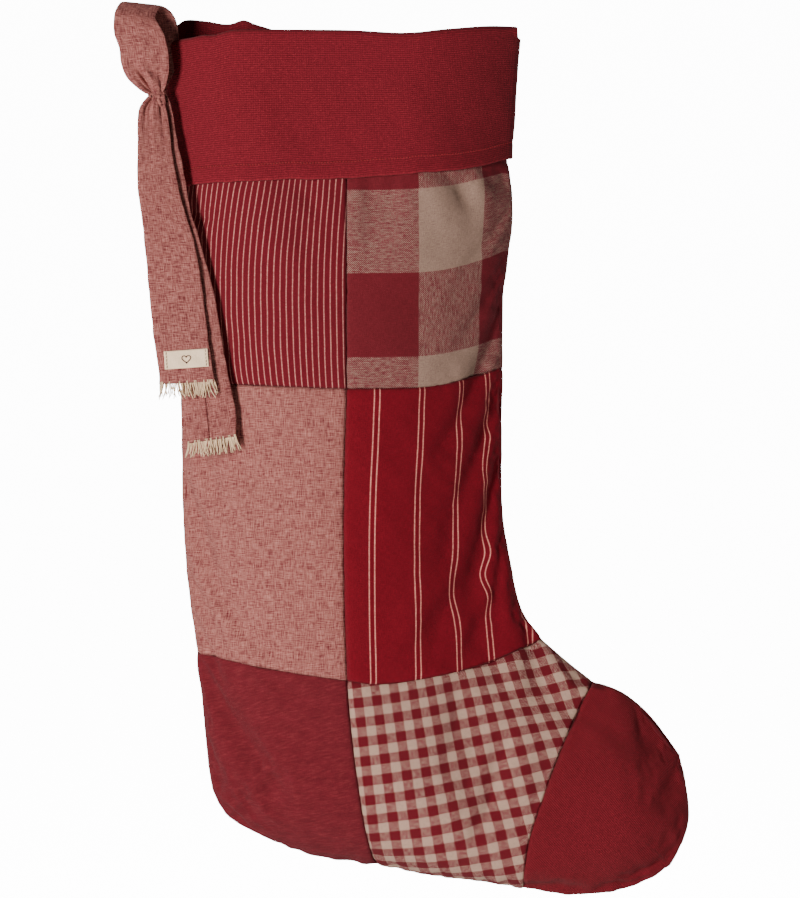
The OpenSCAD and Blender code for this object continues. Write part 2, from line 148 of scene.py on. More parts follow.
def even(points, steps, crowd=""):
    """Steps of equal length along the smooth curve through the points, or shorter ones at an end.

    crowd names the ends with shorter steps: "a" for the first, "b" for the last.
    """
    p = np.asarray(points, float)
    padded = np.vstack([p[:1], p, p[-1:]])
    t = (np.arange(SPAN_STEPS) / SPAN_STEPS)[:, None]
    spans = [between(*four, t) for four in zip(padded, padded[1:], padded[2:], padded[3:])]
    line = np.vstack(spans + [p[-1:]])
    s = lengths(line)
    t = np.linspace(0, 1, steps + 1)
    if crowd == "ab":
        t = t - CROWDING / (2 * math.pi) * np.sin(2 * math.pi * t)
    elif crowd == "a":
        t = t - CROWDING * t * (1 - t)
    elif crowd == "b":
        t = t + CROWDING * t * (1 - t)
    at = t * s[-1]
    return np.column_stack([np.interp(at, s, line[:, k]) for k in range(line.shape[1])])


def lengths(line):
    """The distance along a line at each of its points."""
    return np.concatenate([[0], np.cumsum(np.linalg.norm(np.diff(line, axis=0), axis=1))])


def coons(top, bottom, left, right):
    """A grid of points between four edges; its rows run from left to right."""
    u = np.linspace(0, 1, len(top))[None, :, None]
    v = np.linspace(0, 1, len(left))[:, None, None]
    rows = (1 - v) * top[None] + v * bottom[None] + (1 - u) * left[:, None] + u * right[:, None]
    corners = ((1 - v) * ((1 - u) * top[0] + u * top[-1])
               + v * ((1 - u) * bottom[0] + u * bottom[-1]))
    return rows - corners


def finer(grid, k):
    """A grid with k steps for each of its own, along smooth curves."""
    for _ in range(2):
        g = np.swapaxes(grid, 0, 1)
        p = np.concatenate([2 * g[:1] - g[1:2], g, 2 * g[-1:] - g[-2:-1]])
        steps = [between(p[:-3], p[1:-2], p[2:-1], p[3:], t) for t in np.arange(k) / k]
        body = np.stack(steps, 1).reshape(-1, *g.shape[1:])
        grid = np.concatenate([body, g[-1:]])
    return grid


WAVES = 14
WAVE_SPREAD = 0.45


def waves(points, length, seed):
    """Smooth noise of about unit height, as plane waves of roughly the given length."""
    draw = np.random.default_rng(seed)
    flat = np.asarray(points, float)
    dims = flat.shape[-1]
    total = np.zeros(flat.shape[:-1])
    for _ in range(WAVES):
        way = draw.normal(size=dims)
        way /= np.linalg.norm(way)
        size = length * (1 + WAVE_SPREAD * draw.uniform(-1, 1))
        total += np.cos(flat @ way * (2 * math.pi / size) + draw.uniform(0, 2 * math.pi))
    return total / math.sqrt(WAVES / 2) / 1.6


def even_by(points, at, share):
    """A smooth curve through points met at the shares `at`, sampled at `share`."""
    slope = np.gradient(points, at, axis=0)
    k = np.clip(np.searchsorted(at, share, side="right") - 1, 0, len(at) - 2)
    h = (at[k + 1] - at[k])[:, None]
    t = (share - at[k])[:, None] / h
    return ((2 * t**3 - 3 * t**2 + 1) * points[k] + (t**3 - 2 * t**2 + t) * h * slope[k]
            + (3 * t**2 - 2 * t**3) * points[k + 1] + (t**3 - t**2) * h * slope[k + 1])


def smoothstep(x, low, high):
    t = np.clip((x - low) / (high - low), 0, 1)
    return t * t * (3 - 2 * t)


# ---------------------------------------------------------------- the filled shape
SEAM_STEP = 30
side_seam = np.vstack([even(c, SEAM_STEP)[:-1] for c in (
    LEG_BACK_UPPER, LEG_BACK_LOWER, HEEL_BACK, HEEL_SOLE, SOLE, TOE_UNDER, TOE_TIP, TOE_OVER,
    INSTEP, LEG_FRONT_LOWER, LEG_FRONT_UPPER)] + [np.array([MOUTH_FRONT], float)])


def near_line(flat, line):
    """The distance from each point to a line, the way from the line to it, and the place along."""
    p = np.asarray(flat, float).reshape(-1, 2)
    a, b = line[:-1], line[1:]
    ab = b - a
    s = lengths(line)
    best = np.full(len(p), np.inf)
    way = np.zeros((len(p), 2))
    along = np.zeros(len(p))
    for k in range(len(a)):
        t = np.clip(((p - a[k]) @ ab[k]) / (ab[k] @ ab[k]), 0, 1)
        gap = p - a[k] - t[:, None] * ab[k]
        d = np.linalg.norm(gap, axis=1)
        closer = d < best
        best[closer] = d[closer]
        inward = np.array([-ab[k][1], ab[k][0]]) / np.linalg.norm(ab[k])
        far = d[closer, None]
        way[closer] = np.where(far > 0.3, gap[closer] / np.maximum(far, 1e-9), inward)
        along[closer] = s[k] + t[closer] * (s[k + 1] - s[k])
    shape = np.asarray(flat).shape[:-1]
    return best.reshape(shape), way.reshape(*shape, 2), along.reshape(shape)


def depth_at(flat):
    """Half the depth of the filled shape in its middle, at the height and the place across of [x, z]."""
    leg = MOUTH_SHARE + (1 - MOUTH_SHARE) * smoothstep(-flat[..., 1], 0, -FULL_DEPTH_Z)
    toe = 1 - (1 - TOE_SHARE) * smoothstep(flat[..., 0], *TOE_THINS)
    return HALF_DEPTH * leg * toe


def reach_at(flat):
    """How far in from the side seam the cloth keeps rising."""
    return REACH * (1 - TOE_SHORTER * smoothstep(flat[..., 0], *TOE_THINS))


def rise(d, h, reach=REACH):
    return h * np.sin(math.pi / 2 * np.clip(d / reach, 0, 1)) ** EDGE_POWER


def filled(flat, side, offset=0.0):
    """The filled shape at [x, z], moved outwards by offset; side is -1 in front and 1 behind."""
    d, way, _ = near_line(flat, side_seam)
    h, reach = depth_at(flat), reach_at(flat)
    a = math.pi / 2 * np.clip(d / reach, 0, 1)
    soft = np.maximum(np.sin(a), 0.004)
    slope = EDGE_POWER * h * soft ** (EDGE_POWER - 1) * np.cos(a) * math.pi / 2 / reach
    long = np.sqrt(slope**2 + 1)
    flatwise, upright = slope / long, 1 / long
    y = MID_Y + side * (rise(d, h, reach) + offset * upright)
    x = flat[..., 0] - way[..., 0] * flatwise * offset
    z = flat[..., 1] - way[..., 1] * flatwise * offset
    return np.stack([x, y, z], -1)


# How much longer the cloth is than it looks from the front, at each distance from the side seam
probe = np.linspace(0, REACH, 400)
unseen = np.concatenate([[0], np.cumsum(np.hypot(np.diff(probe), np.diff(rise(probe, HALF_DEPTH))))])
unseen = (unseen[-1] - unseen) - (REACH - probe)


def unrolled(flat):
    """Where each point of the front lies when the cloth is laid flat."""
    d, way, _ = near_line(flat, side_seam)
    return flat - way * np.interp(d, probe, unseen)[..., None]


COLS_BACK, COLS_FRONT, COLS_INSTEP, COLS_TOE = 24, 22, 8, 20
ROWS_TOP, ROWS_MID, ROWS_FOOT = 46, 38, 28
top_a, top_b = even(MOUTH_LEFT, COLS_BACK, "a"), even(MOUTH_RIGHT, COLS_FRONT, "b")
up_a, up_b = even(UPPER_A, COLS_BACK, "a"), even(UPPER_B, COLS_FRONT, "b")
low_a, low_b = even(LOWER_A, COLS_BACK, "a"), even(LOWER_B, COLS_FRONT, "b")
mid_a, mid_b = even(CENTRE_A, ROWS_TOP), even(CENTRE_B, ROWS_MID)
mid_c, toe_line = even(CENTRE_C, ROWS_FOOT, "ab"), even(TOE_SEAM, ROWS_FOOT, "ab")
foot_top = np.vstack([low_b, even(INSTEP[::-1], COLS_INSTEP)[1:]])
flats = {
    "pinstripe_patch": coons(top_a, up_a, even(LEG_BACK_UPPER, ROWS_TOP), mid_a),
    "big_check_patch": coons(top_b, up_b, mid_a, even(LEG_FRONT_UPPER[::-1], ROWS_TOP)),
    "chambray_patch": coons(up_a, low_a, even(LEG_BACK_LOWER, ROWS_MID), mid_b),
    "double_stripe_patch": coons(up_b, low_b, mid_b, even(LEG_FRONT_LOWER[::-1], ROWS_MID)),
    "heel_patch": coons(low_a, even(HEEL_SOLE, COLS_BACK, "a"), even(HEEL_BACK, ROWS_FOOT, "ab"), mid_c),
    "gingham_patch": coons(foot_top, even(SOLE, COLS_FRONT + COLS_INSTEP), mid_c, toe_line),
    "toe_patch": coons(even(TOE_OVER[::-1], COLS_TOE, "b"), even(TOE_UNDER, COLS_TOE, "b"), toe_line,
                       even(TOE_TIP[::-1], ROWS_FOOT, "ab")),
}


def weld(grids):
    """One list of points for several grids that share edges, and each grid's places in it."""
    points, where, places = [], {}, {}
    for name, grid in grids.items():
        ids = np.empty(grid.shape[:2], int)
        for j, i in np.ndindex(ids.shape):
            key = tuple(np.round(grid[j, i], 2))
            if key not in where:
                where[key] = len(points)
                points.append(grid[j, i])
            ids[j, i] = where[key]
        places[name] = ids
    return np.array(points), places


def quads_of(ids):
    return np.stack([ids[:-1, :-1], ids[1:, :-1], ids[1:, 1:], ids[:-1, 1:]], -1).reshape(-1, 4)


welded, places = weld(flats)
front_quads = np.vstack([quads_of(ids) for ids in places.values()])

SETTLE_FRAMES = 24
EXTRA_CLOTH = 0.012
PRESSURE = 3.0
MOST_MOVE = 9.0
SIDEWAYS_SHARE = 0.05
CUFF_HOLDS = (-120, -106)


def settled():
    """The front and the back after a cloth simulation: pinned at the side seam and under the cuff."""
    start = np.vstack([filled(welded, -1), filled(welded, 1)])
    quads = np.vstack([front_quads, front_quads[:, ::-1] + len(welded)])
    mesh = bpy.data.meshes.new("settling")
    mesh.from_pydata((start * MM).tolist(), [], quads.tolist())
    obj = bpy.data.objects.new("settling", mesh)
    bpy.context.scene.collection.objects.link(obj)
    d, _, _ = near_line(welded, side_seam)
    held = np.maximum(d < 0.5, smoothstep(welded[:, 1], *CUFF_HOLDS))
    group = obj.vertex_groups.new(name="pin")
    for k, weight in enumerate(np.concatenate([held, held])):
        if weight > 0:
            group.add([k], float(weight), "REPLACE")
    cloth = obj.modifiers.new("cloth", "CLOTH")
    s = cloth.settings
    s.quality = 6
    s.mass = 0.25
    s.tension_stiffness = s.compression_stiffness = 25
    s.shear_stiffness = 8
    s.bending_stiffness = 1.2
    s.vertex_group_mass = "pin"
    s.use_pressure = True
    s.uniform_pressure_force = PRESSURE
    s.shrink_min = -EXTRA_CLOTH
    s.effector_weights.gravity = 0.15
    cloth.collision_settings.use_collision = False
    scene = bpy.context.scene
    scene.frame_start, scene.frame_end = 1, SETTLE_FRAMES
    cloth.point_cache.frame_start, cloth.point_cache.frame_end = 1, SETTLE_FRAMES
    for f in range(1, SETTLE_FRAMES + 1):
        scene.frame_set(f)
    evaluated = obj.evaluated_get(bpy.context.evaluated_depsgraph_get())
    co = np.empty(len(start) * 3)
    evaluated.data.vertices.foreach_get("co", co)
    moved = co.reshape(-1, 3) / MM - start
    n = vertex_normals(start, quads)
    out = np.sum(moved * n, axis=1, keepdims=True) * n
    moved = out + SIDEWAYS_SHARE * (moved - out)
    far = np.linalg.norm(moved, axis=1, keepdims=True)
    moved *= np.where(far > MOST_MOVE, MOST_MOVE / np.maximum(far, 1e-9), 1)
    bpy.data.objects.remove(obj)
    bpy.data.meshes.remove(mesh)
    scene.frame_set(1)
    done = start + moved
    return done[:len(welded)], done[len(welded):]


# ---------------------------------------------------------------- making meshes
def unit(vectors):
    return vectors / np.maximum(np.linalg.norm(vectors, axis=-1, keepdims=True), 1e-9)


def grid_normals(grid):
    """The normal at each point of a grid of points."""
    return unit(np.cross(np.gradient(grid, axis=0), np.gradient(grid, axis=1)))


def grid_quads(grid):
    """The faces of a grid of points, for the points in one list."""
    return quads_of(np.arange(grid.shape[0] * grid.shape[1]).reshape(grid.shape[:2]))


def vertex_normals(verts, quads):
    """The normal at each point of a mesh of quads, averaged over the faces round it."""
    a, b, c, d = (verts[quads[:, k]] for k in range(4))
    face = np.cross(c - a, d - b)
    n = np.zeros_like(verts)
    for k in range(4):
        np.add.at(n, quads[:, k], face)
    return unit(n)


front_shape, back_shape = settled()


def make_piece(name, verts, faces, body, cloth, stands_for, place, flat_faces=0):
    """A piece of this cloth or thread; place is where each point lies on the cloth, in millimetres."""
    mesh = bpy.data.meshes.new(name)
    mesh.from_pydata((np.asarray(verts) * MM).tolist(), [], [list(map(int, f)) for f in faces])
    count = len(mesh.polygons)
    mesh.polygons.foreach_set("use_smooth", [k < count - flat_faces for k in range(count)])
    layer = mesh.attributes.new("cloth", "FLOAT_VECTOR", "POINT")
    spots = np.column_stack([place, np.zeros(len(place))])
    layer.data.foreach_set("vector", spots.astype(np.float32).ravel())
    mesh.materials.append(MATERIALS[cloth])
    mesh.update()
    obj = bpy.data.objects.new(name, mesh)
    bpy.context.scene.collection.objects.link(obj)
    if body:
        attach(obj, body)
    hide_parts(stands_for)
    return obj


def thick_cloth(verts, quads, thickness, cloth):
    """A closed sheet: the given face, the same face moved against its normals, and a rim between."""
    n = vertex_normals(verts, quads)
    count = len(verts)
    edges = np.vstack([quads[:, [k, (k + 1) % 4]] for k in range(4)])
    keys = set(map(tuple, edges.tolist()))
    rim = [(b, a, a + count, b + count) for a, b in keys if (b, a) not in keys]
    rim.sort()
    faces = quads.tolist() + (quads[:, ::-1] + count).tolist() + rim
    return np.vstack([verts, verts - n * thickness]), faces, np.vstack([cloth, cloth]), len(rim)


# ---------------------------------------------------------------- materials
class Value:
    """What a node works out; +, -, * and / between values and numbers make Math nodes."""

    def __init__(self, tree, socket):
        self.tree = tree
        self.socket = socket


def put(socket, value):
    """Set a node's input, or link a value to it."""
    if isinstance(value, Value):
        value.tree.links.new(value.socket, socket)
    elif socket.type == "RGBA":
        socket.default_value = (*value, 1)
    else:
        socket.default_value = value


def node_value(tree, kind, inputs, output=0, **settings):
    """One output of a new node with these inputs and settings."""
    node = tree.nodes.new("ShaderNode" + kind)
    for name, setting in settings.items():
        setattr(node, name, setting)
    for key, value in inputs.items():
        put(node.inputs[key], value)
    return Value(tree, node.outputs[output])


def tree_of(*values):
    return next(value.tree for value in values if isinstance(value, Value))


def worked_out(operation, *values):
    return node_value(tree_of(*values), "Math", dict(enumerate(values)), operation=operation)


for sign, operation in (("add", "ADD"), ("sub", "SUBTRACT"), ("mul", "MULTIPLY"), ("truediv", "DIVIDE")):
    setattr(Value, f"__{sign}__", lambda a, b, how=operation: worked_out(how, a, b))
    setattr(Value, f"__r{sign}__", lambda a, b, how=operation: worked_out(how, b, a))


def step(value, low, high):
    """0 below low and 1 above high, with a smooth rise between."""
    return node_value(value.tree, "MapRange", {"Value": value, "From Min": low, "From Max": high},
                      interpolation_type="SMOOTHSTEP")


def scale(value, low, high):
    """A value from 0 to 1, taken to run from low to high."""
    return low + value * (high - low)


def noise(x, y, z=0.0, rough=0.5):
    """Noise from 0 to 1 whose features are about one unit of x and y."""
    place = node_value(x.tree, "CombineXYZ", {0: x, 1: y, 2: z})
    inputs = {"Vector": place, "Scale": 1.0, "Detail": 2.0, "Roughness": rough}
    return node_value(x.tree, "TexNoise", inputs, "Fac")


def streaks(across, along, thick, long, z=0.0):
    """Uneven threads: noise drawn out along them, from 0 to 1."""
    return noise(across / thick, along / long, z, 0.6)


def mix(share, a, b):
    return node_value(share.tree, "Mix", {0: share, 6: a, 7: b}, 2, data_type="RGBA")


def tint(colour, by):
    """A colour multiplied by another."""
    return node_value(tree_of(colour, by), "Mix", {0: 1.0, 6: colour, 7: by}, 2,
                      data_type="RGBA", blend_type="MULTIPLY")


def shade(colour, factor):
    """A colour made lighter or darker by a factor."""
    return tint(colour, node_value(factor.tree, "CombineColor", {0: factor, 1: factor, 2: factor}))


def ridge(value, pitch):
    """The rounded height of threads of this pitch, from 0 to 1."""
    off = worked_out("FRACT", value / pitch) * 2.0 - 1.0
    return 1.0 - off * off


def bands(value, first, width):
    """1 in every other band of this width, starting with 1 at first."""
    place = worked_out("FRACT", (value - first) / (2.0 * width))
    soft = 0.35 / (2.0 * width)
    return 1.0 - step(place - 0.5, -soft, soft)


def line_at(value, centre, half):
    off = worked_out("ABSOLUTE", value - centre)
    return 1.0 - step(off, half * 0.5, half * 1.5)


class Cloth:
    """A cloth material; u and v are the place across and along the cloth, in millimetres."""

    def __init__(self, name, sheen=0.05, rough=0.95):
        self.material = bpy.data.materials.new(name)
        self.material.use_nodes = True
        tree = self.material.node_tree
        self.inputs = tree.nodes["Principled BSDF"].inputs
        for key, value in (("Roughness", rough), ("Specular IOR Level", 0.06), ("Sheen Weight", sheen),
                           ("Sheen Roughness", 0.5), ("Sheen Tint", (0.9, 0.6, 0.55))):
            put(self.inputs[key], value)
        place = node_value(tree, "Attribute", {}, "Vector", attribute_name="cloth")
        self.u, self.v = (node_value(tree, "SeparateXYZ", {0: place}, axis) for axis in (0, 1))

    def turned(self, degrees):
        """Coordinates along a direction turned from u towards v, and across it."""
        c, s = math.cos(math.radians(degrees)), math.sin(math.radians(degrees))
        return self.u * c + self.v * s, self.v * c - self.u * s

    def plain_weave(self, pitch):
        """(1 where the upright thread is on top, the weave's height)"""
        cells = worked_out("FLOOR", self.u / pitch) + worked_out("FLOOR", self.v / pitch)
        over = worked_out("ABSOLUTE", worked_out("MODULO", cells, 2.0))
        return over, over * ridge(self.u, pitch) + (1.0 - over) * ridge(self.v, pitch)

    def flecks(self, size, contrast, z=0.0):
        """A factor about 1 for the fine unevenness of thread: upright, level and round flecks."""
        upright = streaks(self.u, self.v, size, size * 7, z)
        level = streaks(self.v, self.u, size, size * 7, z + 3)
        grain = noise(self.u / (size * 1.3), self.v / (size * 1.3), z + 7)
        total = (upright + level + grain) * (1 / 3)
        return scale(total, 1 - 4 * contrast, 1 + 4 * contrast), upright, level

    def finish(self, colour, height, depth):
        bump = {"Distance": depth * MM, "Strength": 1.0, "Height": height}
        put(self.inputs["Base Color"], colour)
        put(self.inputs["Normal"], node_value(height.tree, "Bump", bump))
        return self.material


def linear(r, g, b):
    """A colour given as 0 to 255 values of a screen, as the shader's own values."""
    return tuple((c / 255 / 12.92) if c <= 10 else ((c / 255 + 0.055) / 1.055) ** 2.4 for c in (r, g, b))


def twill(name, colour, light, angle, pitch, contrast):
    """A one-coloured cloth with fine slanting or level ribs, its colour painted darker in their grooves and
    lighter on their crests: painted shade and highlight.
    """
    m = Cloth(name)
    along, across = m.turned(angle)
    wander = noise(along / 3.0, across / 3.0, 2.0)
    line = ridge(across + wander * (0.4 * pitch), pitch)
    beads = ridge(along, pitch * 0.8)
    factor, _, level = m.flecks(0.7, contrast)
    # painted shade and highlight: the colour is darkened in the grooves of the ribs and beads and lightened
    # on their crests, following the same heights as the bump
    factor = factor * scale(line, 1 - 1.5 * contrast, 1 + 0.8 * contrast)
    factor = factor * scale(beads, 1 - 0.8 * contrast, 1 + 0.4 * contrast)
    tone = step(streaks(m.v, m.u, 0.9, 2.4, 8.0), 0.5, 0.75)
    return m.finish(shade(mix(tone, colour, light), factor), line + beads * 0.4 + level, 0.24)


MIXED_TINT = (0.98, 0.72, 0.9)
MIXED_SHARE = 3.6


def woven(name, colours, warp, weft, pitch, contrast, depth, size, darker=1.0, lined=0.4):
    """A plain weave; warp and weft are functions of the cloth: how pale each thread is, 0 to 1."""
    m = Cloth(name)
    over, height = m.plain_weave(pitch)
    factor, upright, level = m.flecks(size, contrast)
    across, along = warp(m), weft(m)
    # where the colours cross, the pale threads show unevenly, as fine lines along themselves
    upright_lines = (streaks(m.u, m.v, 0.8, 11.0, 31.0) - 0.5) * across
    level_lines = (streaks(m.v, m.u, 0.8, 11.0, 35.0) - 0.5) * along
    uneven = (upright_lines - level_lines) * lined + (upright - level) * 0.6
    shows = step(over * 0.3 + uneven, -0.12, 0.42)
    pale = worked_out("MAXIMUM", across + (1.0 - shows) * (along - across), 0.0)
    pale = worked_out("POWER", pale, darker)
    colour = shade(mix(pale, *colours), factor)
    colour = mix(pale * (1.0 - pale) * MIXED_SHARE, colour, tint(colour, MIXED_TINT))
    return m.finish(colour, height * 0.6 + (upright + level), depth)


def heathered(name, dark, pale, low, high, contrast):
    """Linen of uneven red and cream yarn: short level and upright lengths of either colour."""
    m = Cloth(name)
    level = streaks(m.v, m.u, 0.55, 7.0, 11.0)
    upright = streaks(m.u, m.v, 0.55, 7.0, 16.0)
    broad = noise(m.u / 8.0, m.v / 8.0, 20.0)
    tone = step(level * 0.46 + upright * 0.46 + broad * 0.08, low, high)
    factor, _, _ = m.flecks(0.45, contrast, 21.0)
    _, height = m.plain_weave(0.66)
    return m.finish(shade(mix(tone, dark, pale), factor), height * 0.6 + (upright + level) * 1.3, 0.26)


def pinstripe(name):
    pitch = 4.34

    def stripes(m):
        curve = noise(m.u / 60.0, m.v / 45.0, 1.0) * 1.4
        place = worked_out("FRACT", (m.u + curve + 1000 * pitch) / pitch)
        return line_at(place, 0.5, 0.09) * scale(streaks(m.u, m.v, 2.0, 1.6, 6.0), 0.2, 1.5)
    return woven(name, (linear(100, 22, 31), linear(192, 128, 114)), stripes, stripes, 0.6, 0.16, 0.2, 0.6)


def big_check(name):
    column, row, edge = 49.5, 58.0, 21.7
    return woven(name, (linear(102, 29, 36), linear(150, 120, 104)), lambda m: bands(m.u, column, column),
                 lambda m: bands(m.v, edge - row, row), 0.7, 0.29, 0.3, 0.55, 1.35, 0.7)


def double_stripe(name):
    pitch, gap, first = 31.5, 3.8, 21.3

    def stripes(m):
        place = worked_out("MODULO", m.u + (10 * pitch - first + pitch / 2), pitch) - pitch / 2
        off = worked_out("ABSOLUTE", place) - gap / 2
        return line_at(off, 0.0, 0.45) * scale(streaks(m.u, m.v, 2.0, 1.3, 6.0), 0.3, 1.5)
    return woven(name, (linear(110, 15, 28), linear(222, 144, 124)), stripes, stripes, 0.6, 0.25, 0.26, 0.55)


def gingham(name):
    square, first = 6.8, 3400.0
    return woven(name, (linear(97, 22, 30), linear(174, 140, 121)), lambda m: bands(m.u, first, square),
                 lambda m: bands(m.v, first, square), 0.7, 0.2, 0.2, 0.5, 2.1, 0.25)


def slub_linen(name):
    m = Cloth(name)
    along, across = m.turned(16)
    slubs = streaks(across, along, 1.2, 9.0)
    broad = noise(m.u / 14.0, m.v / 6.0, 4.0)
    factor, _, level = m.flecks(0.7, 0.12)
    factor = factor * scale(broad, 0.75, 1.25)
    tone = slubs * 0.6 + streaks(m.v, m.u, 0.9, 5.0, 3.0) * 0.4
    colour = mix(step(tone, 0.42, 0.72), linear(96, 26, 34), linear(114, 38, 43))
    _, height = m.plain_weave(0.6)
    return m.finish(shade(colour, factor), height * 0.5 + (slubs * 1.4 + level), 0.24)


def thread(name, colour, light):
    m = Cloth(name, 0.1, 0.85)
    tone = noise(m.u, m.v / 6.0, 2.0)
    return m.finish(mix(step(tone, 0.3, 0.7), colour, light), ridge(m.u + m.v, 0.6), 0.1)


def tape(name):
    m = Cloth(name, 0.05, 0.9)
    _, height = m.plain_weave(0.45)
    factor, _, _ = m.flecks(0.7, 0.05)
    return m.finish(shade(linear(255, 222, 184), factor), height, 0.1)


MATERIALS = {name: maker(name, *values) for name, maker, *values in (
    ("cuff_twill", twill, linear(104, 25, 33), linear(122, 33, 40), 0, 1.5, 0.22),
    ("toe_twill", twill, linear(98, 23, 30), linear(110, 28, 34), -50, 1.35, 0.26),
    ("back_twill", twill, linear(96, 24, 31), linear(108, 29, 36), -50, 1.35, 0.22),
    ("lining_cotton", twill, linear(90, 25, 31), linear(98, 28, 34), 90, 0.7, 0.08),
    ("pinstripe_cotton", pinstripe),
    ("big_check_cotton", big_check),
    ("double_stripe_cotton", double_stripe),
    ("gingham_cotton", gingham),
    ("slub_linen", slub_linen),
    ("chambray_linen", heathered, linear(97, 35, 41), linear(187, 121, 109), 0.33, 0.67, 0.15),
    ("strip_linen", heathered, linear(92, 34, 39), linear(190, 121, 110), 0.35, 0.66, 0.18),
    ("fringe_thread", thread, linear(206, 172, 134), linear(250, 216, 176)),
    ("hem_thread", thread, linear(132, 30, 38), linear(148, 38, 44)),
    ("seam_thread", thread, linear(70, 18, 23), linear(92, 24, 29)),
    ("label_tape", tape),
    ("label_thread", thread, linear(134, 100, 70), linear(160, 126, 92)),
    ("motif_thread", thread, linear(66, 26, 28), linear(86, 34, 35)),
)}


# ---------------------------------------------------------------- the patches
FINE = 3
CLOTH_T = 1.0
SEAMS = {  # each patch's sewn edges inside the front
    "pinstripe_patch": (CENTRE_A, UPPER_A), "big_check_patch": (CENTRE_A, UPPER_B),
    "chambray_patch": (UPPER_A, CENTRE_B, LOWER_A),
    "double_stripe_patch": (UPPER_B, CENTRE_B, LOWER_B),
    "heel_patch": (LOWER_A, CENTRE_C), "gingham_patch": (LOWER_B, CENTRE_C, TOE_SEAM),
    "toe_patch": (TOE_SEAM,),
}


# Soft folds of the front: [x, z] of the middle, its direction in degrees, half length, half width, height
FOLDS = [
    ((204, -136), -66, 18, 8, 1.5), ((221, -131), -62, 17, 6, -3.2), ((236, -134), -70, 18, 6, 1.6),
    ((165, -137), -50, 15, 8, -1.8), ((118, -140), -52, 26, 5, -1.0),
    ((190, -421), 61, 34, 10, 2.6), ((210, -424), 63, 30, 7, -3.0), ((227, -430), 65, 26, 6, 2.4),
    ((240, -424), 62, 20, 5, -1.6), ((208, -352), 40, 16, 4, -1.0), ((190, -311), 2, 44, 1.6, -0.5),
    ((333, -508), -50, 22, 7, -1.2), ((346, -560), -80, 20, 8, -0.4),
]

# Where the puckers and folds pull the stripes sideways: [x, z], reach along x and z, amount
PULLS = [
    ((240, -300), (10, 8), 2.4), ((240, -323), (10, 9), -1.8), ((240, -352), (10, 6), 1.0),
    ((241, -379), (10, 9), 2.4), ((239, -396), (10, 8), -2.6), ((215, -402), (12, 17), -4.0),
    ((241, -413), (9, 8), 2.0),
]


def folds_at(flat):
    """How far the soft folds raise the front at [x, z]."""
    total = np.zeros(flat.shape[:-1])
    for middle, degrees, half_l, half_w, height in FOLDS:
        angle = math.radians(degrees)
        p = flat - np.array(middle, float)
        along = (p[..., 0] * math.cos(angle) + p[..., 1] * math.sin(angle)) / half_l
        across = p[..., 1] * math.cos(angle) - p[..., 0] * math.sin(angle) + 0.12 * half_l * along**2
        across /= half_w
        total += height * np.exp(-along**2 - across**2)
    return total


def side_puckers(flat):
    """How the side seam draws the cloth in and puckers it, below the cuff."""
    d, _, along = near_line(flat, side_seam)
    pucker = waves(np.stack([along, d * 0.3], -1), 12, 902)
    out = 0.75 * pucker * np.exp(-d / 11.0) * (1 - np.exp(-d / 2.0)) - 0.7 * np.exp(-(d / 0.8) ** 2)
    return out * smoothstep(-flat[..., 1], 108, 122)


def sewn(grid, flat, seams, seed):
    """The cloth of one patch with its seams drawn in, its puckers and its small dents."""
    n = grid_normals(grid)
    out = 0.16 * waves(grid, 17, seed) + 0.45 * waves(grid, 46, seed + 1) + folds_at(flat)
    for k, seam in enumerate(seams):
        d, _, along = near_line(flat, even(seam, 60))
        pucker = waves(np.stack([along, d * 0.25], -1), 7.5, seed + 10 + k)
        out -= 0.8 * np.exp(-(d / 1.0) ** 2) + 0.5 * np.exp(-(d / 4.0) ** 2)
        out += 0.26 * pucker * np.exp(-d / 4.5)
    out += side_puckers(flat)
    return grid + n * out[..., None]


GINGHAM_CENTRE = np.array([50.0, 350.0])
GINGHAM_RADIUS = 890.0


def pattern_place(name, flat):
    """The place on the cloth, [across, along] in millimetres, that each point shows."""
    laid = unrolled(flat)
    if name in ("big_check_patch", "double_stripe_patch", "pinstripe_patch"):
        seam = even(CENTRE_A[:-1] + CENTRE_B, 60)
        middle = np.interp(-flat[..., 1], -seam[:, 1], seam[:, 0])
        u = laid[..., 0] - middle
        bottom = even(UPPER_B if name == "big_check_patch" else LOWER_B, 60)
        v = laid[..., 1] - np.interp(flat[..., 0], bottom[:, 0], bottom[:, 1])
        if name == "pinstripe_patch":
            up = (flat[..., 1] + 195) / 72
            u = u - (5.6 * up**2 + 2.1 * up) * (1 - 0.5 * smoothstep(flat[..., 0], 80, 135))
        if name == "double_stripe_patch":
            u = u + 6.5 * smoothstep(flat[..., 0], 222, 241) - 3.2 * (flat[..., 1] + 262) / 210
            for middle, reach, amount in PULLS:
                off = (flat - np.array(middle, float)) / np.array(reach, float)
                u = u - amount * np.exp(-np.sum(off**2, axis=-1))
        return np.stack([u, v], -1)
    if name == "gingham_patch":
        away = laid - GINGHAM_CENTRE
        angle = np.arctan2(away[..., 0], -away[..., 1])
        return np.stack([angle * GINGHAM_RADIUS, np.linalg.norm(away, axis=-1)], -1)
    return laid


PATCH_CLOTHS = {
    "pinstripe_patch": "pinstripe_cotton", "big_check_patch": "big_check_cotton",
    "chambray_patch": "chambray_linen", "double_stripe_patch": "double_stripe_cotton",
    "heel_patch": "slub_linen", "gingham_patch": "gingham_cotton", "toe_patch": "toe_twill",
}


def make_patches():
    """The seven patches of the front."""
    for number, (name, ids) in enumerate(places.items()):
        flat = finer(flats[name], FINE)
        grid = sewn(finer(front_shape[ids], FINE), flat, SEAMS[name], 100 + 50 * number)
        verts, quads = grid.reshape(-1, 3), grid_quads(grid)
        cloth = pattern_place(name, flat).reshape(-1, 2)
        solid, faces, place, rim = thick_cloth(verts, quads, CLOTH_T, cloth)
        piece = make_piece(name + "_cloth", solid, faces, "stocking", PATCH_CLOTHS[name], name, place, rim)
        unrolled(flat).reshape(-1, 2)


